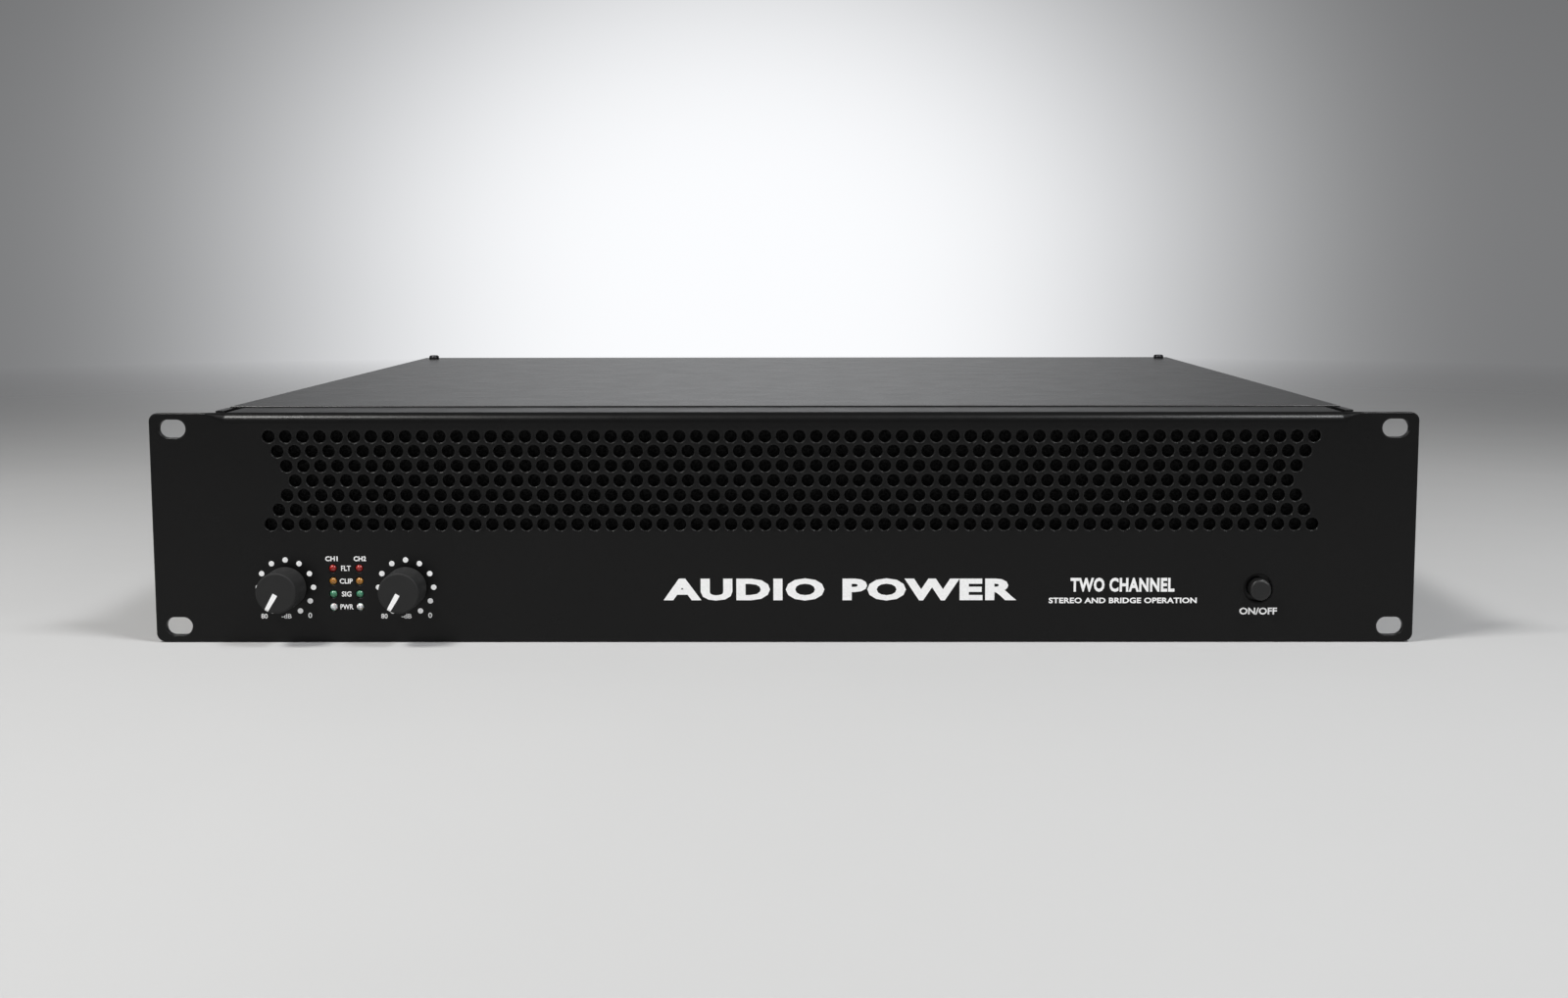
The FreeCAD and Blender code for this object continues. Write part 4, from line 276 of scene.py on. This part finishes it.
def winding(name, centre, turns):
    """Enamelled copper wire laid radially round a ring, one turn beside the next, with painted shade in the
    grooves between turns.
    """
    surface = Surface(name, Metallic=0.85)
    shifted = surface.node("ShaderNodeVectorMath", operation="SUBTRACT")
    surface.feed(shifted.inputs[0], surface.place)
    surface.feed(shifted.inputs[1], centre)
    offset = shifted.outputs[0]
    angle = surface.combined("ARCTAN2", surface.part("Y", offset), surface.part("X", offset))
    wander = surface.combined("MULTIPLY", surface.noise(16.0, 2.0), 0.05)
    phase = surface.combined("MULTIPLY", surface.combined("ADD", angle, wander), float(turns))
    wave = surface.ranged(surface.combined("SINE", phase), -1.0, 1.0, 0.0, 1.0)
    # The wave's dark phase, in the grooves between turns, is painted shade; its bright phase is the copper's
    # own colour.
    surface.colour(surface.mix(wave, (0.16, 0.045, 0.014, 1.0), (0.62, 0.25, 0.1, 1.0)))
    surface.roughness(surface.ranged(surface.noise(3.0, 3.0), 0.3, 0.7, 0.25, 0.42))
    surface.bump(wave, 0.5)
    return surface.material


def rubbery(name, base, rough=0.7):
    """Rubber or soft PVC, dull and a little dusty."""
    surface = Surface(name, Specular_IOR_Level=0.3)
    dust = surface.ranged(surface.noise(3.0, 6.0, 0.7), 0.5, 0.75, 0.0, 0.5)
    surface.colour(surface.mix(dust, grey(base), grey(base * 2.4 + 0.01)))
    surface.roughness(surface.ranged(surface.noise(5.0, 3.0), 0.3, 0.7, rough - 0.1, rough + 0.1))
    surface.bump(surface.noise(0.6, 4.0, 0.7), 0.03)
    return surface.material


def sleeve(name):
    """Dark blue shrink sleeve of a capacitor, slightly rippled."""
    surface = Surface(name, Specular_IOR_Level=0.5, Coat_Weight=0.4, Coat_Roughness=0.12)
    ripple = surface.noise(9.0, 3.0)
    surface.colour(surface.mix(ripple, (0.006, 0.009, 0.03, 1.0), (0.012, 0.018, 0.06, 1.0)))
    surface.roughness(surface.ranged(ripple, 0.3, 0.7, 0.24, 0.4))
    surface.bump(ripple, 0.12)
    return surface.material


def ink(name, base):
    """Screen-printed ink with uneven cover."""
    surface = Surface(name, Specular_IOR_Level=0.35)
    cover = surface.noise(0.9, 5.0, 0.6)
    surface.colour(surface.mix(surface.ranged(cover, 0.35, 0.65, 0.0, 1.0), grey(base * 0.9), grey(base)))
    surface.roughness(surface.ranged(cover, 0.3, 0.7, 0.42, 0.6))
    surface.bump(cover, 0.008)
    return surface.material


def floor_paper(name, fade_start, fade_end):
    """Pale paper that fades into the surroundings some way off."""
    surface = Surface(name, Specular_IOR_Level=0.1)
    surface.colour(surface.mix(surface.noise(300.0, 2.0), grey(0.41), grey(0.43)))
    surface.roughness(surface.ranged(surface.noise(40.0, 3.0), 0.3, 0.7, 0.75, 0.85))
    surface.bump(surface.noise(2.0, 3.0), 0.02)
    distance = surface.node("ShaderNodeVectorMath", operation="LENGTH")
    surface.feed(distance.inputs[0], surface.place)
    surface.feed(surface.shader.inputs["Alpha"],
                 surface.ranged(distance.outputs["Value"], fade_start, fade_end, 1.0, 0.0))
    return surface.material


toroid_low, toroid_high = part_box("transformer_winding")
toroid_centre = (toroid_low + toroid_high) / 2

MATERIALS = {
    "panel_black": powder_coat("panel_coat", base=0.003, level=0.22, low_rough=0.29, high_rough=0.33,
                               worn=0.03, round_mm=1.1),
    "case_black": powder_coat("case_coat", base=0.0065, level=0.5, low_rough=0.28, high_rough=0.3,
                              peel_mm=0.008),
    "rear_black": powder_coat("rear_coat", base=0.007, level=0.35, low_rough=0.32, high_rough=0.4),
    "screw_black": plated("black_oxide", 0.06, (1.0, 1.0, 1.06), low_rough=0.3, high_rough=0.44),
    "zinc": plated("zinc_plate", 0.62, (1.0, 1.01, 1.03), low_rough=0.28, high_rough=0.44,
                   spangle=0.5, grain_mm=6.0),
    "bright_metal": plated("nickel_plate", 0.66, (1.0, 0.98, 0.93), low_rough=0.14, high_rough=0.26),
    "filter_foam": open_foam("filter_foam"),
    "knob_plastic": moulded("knob_plastic", 0.016, low_rough=0.62, high_rough=0.68, level=0.22,
                            wave_mm=0.002),
    "button_plastic": moulded("button_plastic", 0.009, low_rough=0.34, high_rough=0.42),
    "black_plastic": moulded("black_plastic", 0.016),
    "component_black": moulded("component_black", 0.02, low_rough=0.5, high_rough=0.62, level=0.3),
    "socket_plastic": moulded("socket_plastic", 0.015, low_rough=0.3, high_rough=0.42, level=0.5),
    "socket_metal": plated("socket_metal", 0.55, (1.0, 0.98, 0.94)),
    "led_red": lamp_lens("lamp_red", (0.22, 0.007, 0.006, 1.0), (0.3, 0.018, 0.014, 1.0)),
    "led_amber": lamp_lens("lamp_amber", (0.3, 0.12, 0.016, 1.0), (0.38, 0.19, 0.04, 1.0)),
    "led_green": lamp_lens("lamp_green", (0.035, 0.16, 0.085, 1.0), (0.075, 0.26, 0.15, 1.0)),
    "led_clear": lamp_lens("lamp_clear", (0.3, 0.3, 0.3, 1.0), (0.85, 0.86, 0.86, 1.0)),
    "circuit_board": board("circuit_board"),
    "core_steel": plated("core_steel", 0.4, (1.0, 0.98, 0.96), low_rough=0.4, high_rough=0.55),
    "copper_winding": winding("copper_winding", toroid_centre, turns=190),
    "rubber": rubbery("rubber", 0.018),
    "capacitor_sleeve": sleeve("capacitor_sleeve"),
    "aluminium": brushed("aluminium", 0.72, direction=(9.0, 0.35, 9.0)),
    "fan_plastic": moulded("fan_plastic", 0.02, low_rough=0.34, high_rough=0.46),
    "guard_wire": plated("guard_wire", 0.6, (1.0, 1.0, 1.02), low_rough=0.12, high_rough=0.24),
    "breaker_cap": moulded("breaker_cap", 0.42, (1.0, 0.08, 0.06), low_rough=0.25, high_rough=0.38,
                           level=0.5),
    "cable_jacket": rubbery("cable_jacket", 0.012, rough=0.55),
}
WHITE_INK = ink("white_ink", 0.86)
POINTER_INK = ink("pointer_ink", 0.9)

# Radius in millimetres that each kind of part has on its sharp edges.
EDGE_RADIUS = {"front_panel": 0.4, "top_cover": 0.25, "chassis_tray": 0.2, "rear_panel": 0.18,
               "power_button": 0.15, "level_knob_1": 0.2, "level_knob_2": 0.2}
DEFAULT_EDGE_RADIUS = 0.12
SHARPEST_SMOOTH_EDGE = math.radians(38)
WELD_DISTANCE = 0.002 * MM


def soften_edges(piece, radius_mm):
    """Small rounded edges on a CAD node, as punched sheet and moulded parts have."""
    weld = piece.modifiers.new("weld", "WELD")
    weld.merge_threshold = WELD_DISTANCE
    bevel = piece.modifiers.new("edges", "BEVEL")
    bevel.width = radius_mm * MM
    bevel.segments = 2
    bevel.limit_method = "ANGLE"
    bevel.angle_limit = SHARPEST_SMOOTH_EDGE
    bevel.use_clamp_overlap = True
    bevel.miter_outer = "MITER_ARC"
    even = piece.modifiers.new("shading", "WEIGHTED_NORMAL")
    even.keep_sharp = False
    even.weight = 60


slot_of = {part["node"]: part["material_slot"] for part in frame["record"]["subparts"]}
for name, piece in nodes.items():
    piece.data.materials.clear()
    piece.data.materials.append(MATERIALS[slot_of[name]])
    soften_edges(piece, EDGE_RADIUS.get(name, DEFAULT_EDGE_RADIUS))


# ---------------------------------------------------------------- printing

INK_HALF_THICKNESS = 0.05
TOWARDS_FRONT, TOWARDS_REAR = -1, 1


def mesh_piece(name, mesh, material, body):
    piece = bpy.data.objects.new(name, mesh)
    bpy.context.scene.collection.objects.link(piece)
    mesh.materials.clear()
    mesh.materials.append(material)
    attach(piece, body)
    return piece


def glyphs(text, box, weight, spacing=1.0, facing=TOWARDS_FRONT):
    """Lettering as a thin slab that fills a box (x0, x1, z0, z1, y), all in millimetres."""
    curve = bpy.data.curves.new("lettering", "FONT")
    curve.body = text
    curve.size = 1.0
    curve.offset = weight
    curve.space_character = spacing
    curve.resolution_u = 3
    curve.extrude = 0.5
    holder = bpy.data.objects.new("lettering", curve)
    bpy.context.scene.collection.objects.link(holder)
    bpy.context.view_layer.update()
    mesh = bpy.data.meshes.new_from_object(holder.evaluated_get(bpy.context.evaluated_depsgraph_get()))
    bpy.data.objects.remove(holder)
    bpy.data.curves.remove(curve)
    low = [min(v.co[axis] for v in mesh.vertices) for axis in range(3)]
    high = [max(v.co[axis] for v in mesh.vertices) for axis in range(3)]
    x0, x1, z0, z1, y = box
    wide = (x1 - x0) / (high[0] - low[0])
    tall = (z1 - z0) / (high[1] - low[1])
    centre_x, centre_z = (x0 + x1) / 2, (z0 + z1) / 2
    for v in mesh.vertices:
        x = (v.co.x - (low[0] + high[0]) / 2) * wide * -facing
        z = (v.co.y - (low[1] + high[1]) / 2) * tall
        lift = ((v.co.z - low[2]) / (high[2] - low[2]) * 2 - 1) * INK_HALF_THICKNESS
        v.co = Vector((centre_x + x, y + facing * lift, centre_z + z)) * MM
    return mesh


def disc(x, z, radius, y, sides=28):
    """A dot printed on the front: a thin, slightly rounded disc."""
    rings = ((radius, -INK_HALF_THICKNESS), (radius, INK_HALF_THICKNESS * 0.6),
             (radius * 0.93, INK_HALF_THICKNESS))
    vertices = []
    for ring_radius, lift in rings:
        for k in range(sides):
            angle = 2 * math.pi * k / sides
            vertices.append(Vector((x + ring_radius * math.cos(angle), y + TOWARDS_FRONT * lift,
                                    z + ring_radius * math.sin(angle))) * MM)
    faces = []
    for ring in range(len(rings) - 1):
        for k in range(sides):
            after = (k + 1) % sides
            faces.append((ring * sides + k, ring * sides + after,
                          (ring + 1) * sides + after, (ring + 1) * sides + k))
    faces.append(tuple(range(sides - 1, -1, -1)))
    faces.append(tuple(range((len(rings) - 1) * sides, len(rings) * sides)))
    mesh = bpy.data.meshes.new("dot")
    mesh.from_pydata(vertices, [], faces)
    return mesh


def joined(name, meshes):
    """One mesh from several, with outward faces."""
    merged = bmesh.new()
    for mesh in meshes:
        merged.from_mesh(mesh)
        bpy.data.meshes.remove(mesh)
    bmesh.ops.recalc_face_normals(merged, faces=merged.faces)
    mesh = bpy.data.meshes.new(name)
    merged.to_mesh(mesh)
    merged.free()
    return mesh


def centre_of(node):
    """The middle of a CAD node, in millimetres."""
    low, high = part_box(node)
    return (low + high) / 2 / MM


# Millimetres and degrees, anticlockwise from the right as seen from the front.
RING_DOTS = 11
RING_START = -60.0
RING_STEP = 30.0
RING_RADIUS = 10.6
RING_DOT_RADIUS = 1.05
POINTER_MINIMUM = 240.0
KNOB_FACE_RADIUS = 7.75
LAMP_RADIUS = 1.5
PAINT_PROUD = 0.06
PAINT_SUNK = 0.25


def front_lettering():
    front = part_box("front_panel")[0].y / MM
    prints = []

    def label(text, x, z, width, height, weight=0.02, spacing=1.0):
        box = (x - width / 2, x + width / 2, z - height / 2, z + height / 2, front)
        prints.append(glyphs(text, box, weight, spacing))

    for number in (1, 2):
        knob = centre_of(f"level_knob_{number}")
        for step in range(RING_DOTS):
            angle = math.radians(RING_START + RING_STEP * step)
            prints.append(disc(knob.x + RING_RADIUS * math.cos(angle), knob.z + RING_RADIUS * math.sin(angle),
                               RING_DOT_RADIUS, front))
        label("0", knob.x + 9.0, knob.z - 10.9, 1.5, 2.1)
        label("80", knob.x - 8.6, knob.z - 11.2, 2.5, 1.9)
        label("-dB", knob.x - 0.1, knob.z - 11.2, 3.9, 1.8)
    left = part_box("leds_red")[0].x / MM + LAMP_RADIUS
    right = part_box("leds_red")[1].x / MM - LAMP_RADIUS
    for text, x in (("CH1", left), ("CH2", right)):
        label(text, x, -11.9, 4.8, 1.9, weight=0.03)
    for text, width, node in (("FLT", 3.7, "leds_red"), ("CLIP", 5.0, "leds_amber"),
                              ("SIG", 3.7, "leds_green"), ("PWR", 5.0, "leds_white")):
        label(text, (left + right) / 2, centre_of(node).z, width, 2.0)
    button = centre_of("power_button")
    label("ON/OFF", button.x, button.z - 8.75, 14.4, 2.7, weight=0.03)
    label("AUDIO POWER", 21.65, -23.9, 135.3, 8.6, weight=0.05, spacing=1.1)
    label("TWO CHANNEL", 129.9, -22.15, 39.8, 5.5, weight=0.04, spacing=1.08)
    label("STEREO AND BRIDGE OPERATION", 130.05, -28.2, 56.7, 2.2, weight=0.03, spacing=1.02)
    return mesh_piece("front_print", joined("front_print", prints), WHITE_INK, "chassis")


def knob_pointer(number):
    """The white line painted across the face and down the side of a level knob."""
    low, high = (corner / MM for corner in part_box(f"level_knob_{number}"))
    centre = (low + high) / 2
    angle = math.radians(POINTER_MINIMUM)
    radial = Vector((math.cos(angle), 0, math.sin(angle)))
    across = Vector((-math.sin(angle), 0, math.cos(angle)))
    inward = Vector((0, 1, 0))
    middle = Vector((centre.x, low.y, centre.z))
    slope = ((high.x - low.x) / 2 - KNOB_FACE_RADIUS) / (high.y - low.y)
    # Each section: distance from the axis, depth behind the face, half width, way out of the knob.
    line = [(0.5, 0.0, 0.95, -inward), (3.0, 0.0, 0.9, -inward), (6.0, 0.0, 0.8, -inward),
            (7.1, 0.0, 0.75, -inward), (7.58, 0.22, 0.7, -inward)]
    for depth in (0.8, 3.0, 6.0, 9.0):
        line.append((KNOB_FACE_RADIUS + slope * depth, depth, 0.66, radial))
    vertices, faces = [], []
    for reach, depth, half_width, outward in line:
        point = middle + radial * reach + inward * depth
        for sideways, lift in ((-1, -PAINT_SUNK), (-1, PAINT_PROUD), (1, PAINT_PROUD), (1, -PAINT_SUNK)):
            vertices.append((point + across * sideways * half_width + outward * lift) * MM)
    for k in range(len(line) - 1):
        for corner in range(4):
            after = (corner + 1) % 4
            faces.append((4 * k + corner, 4 * k + after, 4 * k + 4 + after, 4 * k + 4 + corner))
    faces.append((3, 2, 1, 0))
    last = 4 * (len(line) - 1)
    faces.append((last, last + 1, last + 2, last + 3))
    mesh = bpy.data.meshes.new("pointer")
    mesh.from_pydata(vertices, [], faces)
    name = f"knob_pointer_{number}"
    return mesh_piece(name, joined(name, [mesh]), POINTER_INK, f"level_control_{number}")


def rear_lettering():
    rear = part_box("rear_panel")[1].y / MM
    prints = []

    def label(text, x, z, width, height, weight=0.014):
        box = (x - width / 2, x + width / 2, z - height / 2, z + height / 2, rear)
        prints.append(glyphs(text, box, weight, facing=TOWARDS_REAR))

    jacks = centre_of("link_jacks")
    for number in (1, 2):
        speaker = centre_of(f"speaker_socket_{number}")
        entry = centre_of(f"input_socket_{number}")
        for socket in (speaker, entry):
            label(f"CH{number}", socket.x + 18.5, socket.z + 12.0, 6.0, 2.4)
        label("LINK", jacks.x, entry.z - 11.0, 6.4, 2.0)
    label("SPEAKER OUTPUTS", centre_of("speaker_socket_1").x, 0.0, 30.0, 2.2)
    label("INPUTS", centre_of("input_socket_1").x, 0.0, 13.0, 2.2)
    switch = centre_of("mode_switch")
    label("STEREO", switch.x + 6.0, switch.z + 6.2, 8.0, 1.5)
    label("BRIDGE", switch.x - 6.0, switch.z + 6.2, 8.0, 1.5)
    inlet = centre_of("mains_inlet")
    label("MAINS", inlet.x, inlet.z - 18.0, 12.0, 2.2, weight=0.0)
    breaker = centre_of("circuit_breaker")
    label("RESET", breaker.x, breaker.z - 13.0, 9.0, 1.9)
    return mesh_piece("rear_print", joined("rear_print", prints), WHITE_INK, "chassis")


front_lettering()
rear_lettering()
for number in (1, 2):
    knob_pointer(number)


# ---------------------------------------------------------------- switch spring

def shortening_spring():
    """The power switch's spring, copied from its CAD node onto the chassis in place of the node; here it
    keeps its length as the button goes in.
    """
    node = nodes["switch_spring"]
    mesh = node.data.copy()
    mesh.transform(node.matrix_world)
    piece = mesh_piece("shortening_spring", mesh, MATERIALS["bright_metal"], "chassis")
    soften_edges(piece, DEFAULT_EDGE_RADIUS)
    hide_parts("switch_spring")
    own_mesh(piece)


shortening_spring()


# ---------------------------------------------------------------- stage

FLOOR_HALF = 12.0
FLOOR_GAP = 0.4 * MM
WHITE, WARM_WHITE, COOL_WHITE = (1.0, 1.0, 1.0), (1.0, 0.99, 0.97), (0.98, 0.99, 1.0)
MIDDLE = (0.0, 0.0, 0.0)


def floor():
    ground = bpy.data.meshes.new("floor")
    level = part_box("front_panel")[0].z - FLOOR_GAP
    corners = ((-1, -1), (1, -1), (1, 1), (-1, 1))
    ground.from_pydata([(x * FLOOR_HALF, y * FLOOR_HALF, level) for x, y in corners], [], [(0, 1, 2, 3)])
    ground.materials.append(floor_paper("floor_paper", fade_start=0.75, fade_end=2.2))
    piece = bpy.data.objects.new("floor", ground)
    bpy.context.scene.collection.objects.link(piece)


def softbox(name, place, target, width, height, power, spread, colour=WHITE):
    """A rectangular lamp turned to a target: metres, watts and degrees."""
    light = bpy.data.lights.new(name, "AREA")
    light.shape = "RECTANGLE"
    light.size = width
    light.size_y = height
    light.energy = power
    light.spread = math.radians(spread)
    light.color = colour
    holder = bpy.data.objects.new(name, light)
    holder.location = place
    holder.rotation_mode = "QUATERNION"
    holder.rotation_quaternion = (Vector(target) - Vector(place)).to_track_quat("-Z", "Y")
    bpy.context.scene.collection.objects.link(holder)


def surroundings(dim, horizon, glow, glow_height, glow_width, glow_centre):
    """A dim studio, paler at the horizon, with a lit backdrop behind the amplifier."""
    world = bpy.data.worlds.new("studio")
    world.use_nodes = True
    tree = world.node_tree
    background = tree.nodes["Background"]
    place = tree.nodes.new("ShaderNodeTexCoord").outputs["Generated"]
    split = tree.nodes.new("ShaderNodeSeparateXYZ")
    tree.links.new(place, split.inputs[0])
    across, inward, upward = split.outputs

    def ranged(value, low, high, to_low, to_high):
        made = tree.nodes.new("ShaderNodeMapRange")
        made.interpolation_type = "SMOOTHSTEP"
        tree.links.new(value, made.inputs["Value"])
        for socket, number in zip(("From Min", "From Max", "To Min", "To Max"), (low, high, to_low, to_high)):
            made.inputs[socket].default_value = number
        return made.outputs[0]

    def combined(operation, a, b=0.0):
        made = tree.nodes.new("ShaderNodeMath")
        made.operation = operation
        tree.links.new(a, made.inputs[0])
        if isinstance(b, bpy.types.NodeSocket):
            tree.links.new(b, made.inputs[1])
        else:
            made.inputs[1].default_value = b
        return made.outputs[0]

    off_centre = combined("ABSOLUTE", combined("SUBTRACT", across, glow_centre))
    centre = ranged(off_centre, 0.0, glow_width, 1.0, 0.0)
    near_horizon = ranged(upward, 0.0, glow_height, 1.0, 0.0)
    behind = ranged(inward, 0.0, 0.5, 0.0, 1.0)
    backdrop = combined("MULTIPLY", combined("MULTIPLY", centre, near_horizon), behind)
    lit = ranged(backdrop, 0.0, 1.0, 0.0, glow)
    haze = ranged(upward, 0.0, 0.35, horizon, dim)
    tree.links.new(combined("ADD", lit, haze), background.inputs["Strength"])
    background.inputs["Color"].default_value = (0.97, 0.98, 1.0, 1.0)
    bpy.context.scene.world = world


def camera():
    """The photograph's viewpoint, fitted to the rack panel's known size."""
    pitch, yaw, roll = math.radians(6.232), math.radians(-0.299), math.radians(-0.075)
    forward = Vector((math.sin(yaw) * math.cos(pitch), math.cos(yaw) * math.cos(pitch), -math.sin(pitch)))
    right = Vector((math.cos(yaw), -math.sin(yaw), 0.0))
    up = right.cross(forward)
    level_right = right * math.cos(roll) + up * math.sin(roll)
    level_up = up * math.cos(roll) - right * math.sin(roll)
    lens = bpy.data.cameras.new("camera")
    lens.sensor_width = 36.0
    lens.lens = 43.3328
    lens.shift_x = -0.01678
    lens.shift_y = -0.02086
    lens.clip_start = 0.01
    holder = bpy.data.objects.new("camera", lens)
    turn = Matrix((level_right, level_up, -forward)).transposed().to_4x4()
    holder.matrix_world = Matrix.Translation(Vector((0.01411, -0.71427, 0.10159))) @ turn
    bpy.context.scene.collection.objects.link(holder)
    bpy.context.scene.camera = holder


floor()
surroundings(dim=0.12, horizon=0.2, glow=0.8, glow_height=0.36, glow_width=0.44, glow_centre=-0.04)
softbox("key_left", (-0.66, -0.42, 1.15), (-0.1, 0.0, 0.0), width=0.42, height=0.2, power=17.0, spread=180,
        colour=WARM_WHITE)
softbox("key_right", (0.62, -0.42, 1.15), (0.1, 0.0, 0.0), width=0.42, height=0.2, power=13.0, spread=180,
        colour=COOL_WHITE)
for name, x in (("fill_left", -1.5), ("fill_right", 1.5)):
    softbox(name, (x, -1.0, 0.95), MIDDLE, width=0.8, height=0.8, power=1.6, spread=80)
camera()
bpy.context.scene.view_settings.view_transform = "Standard"
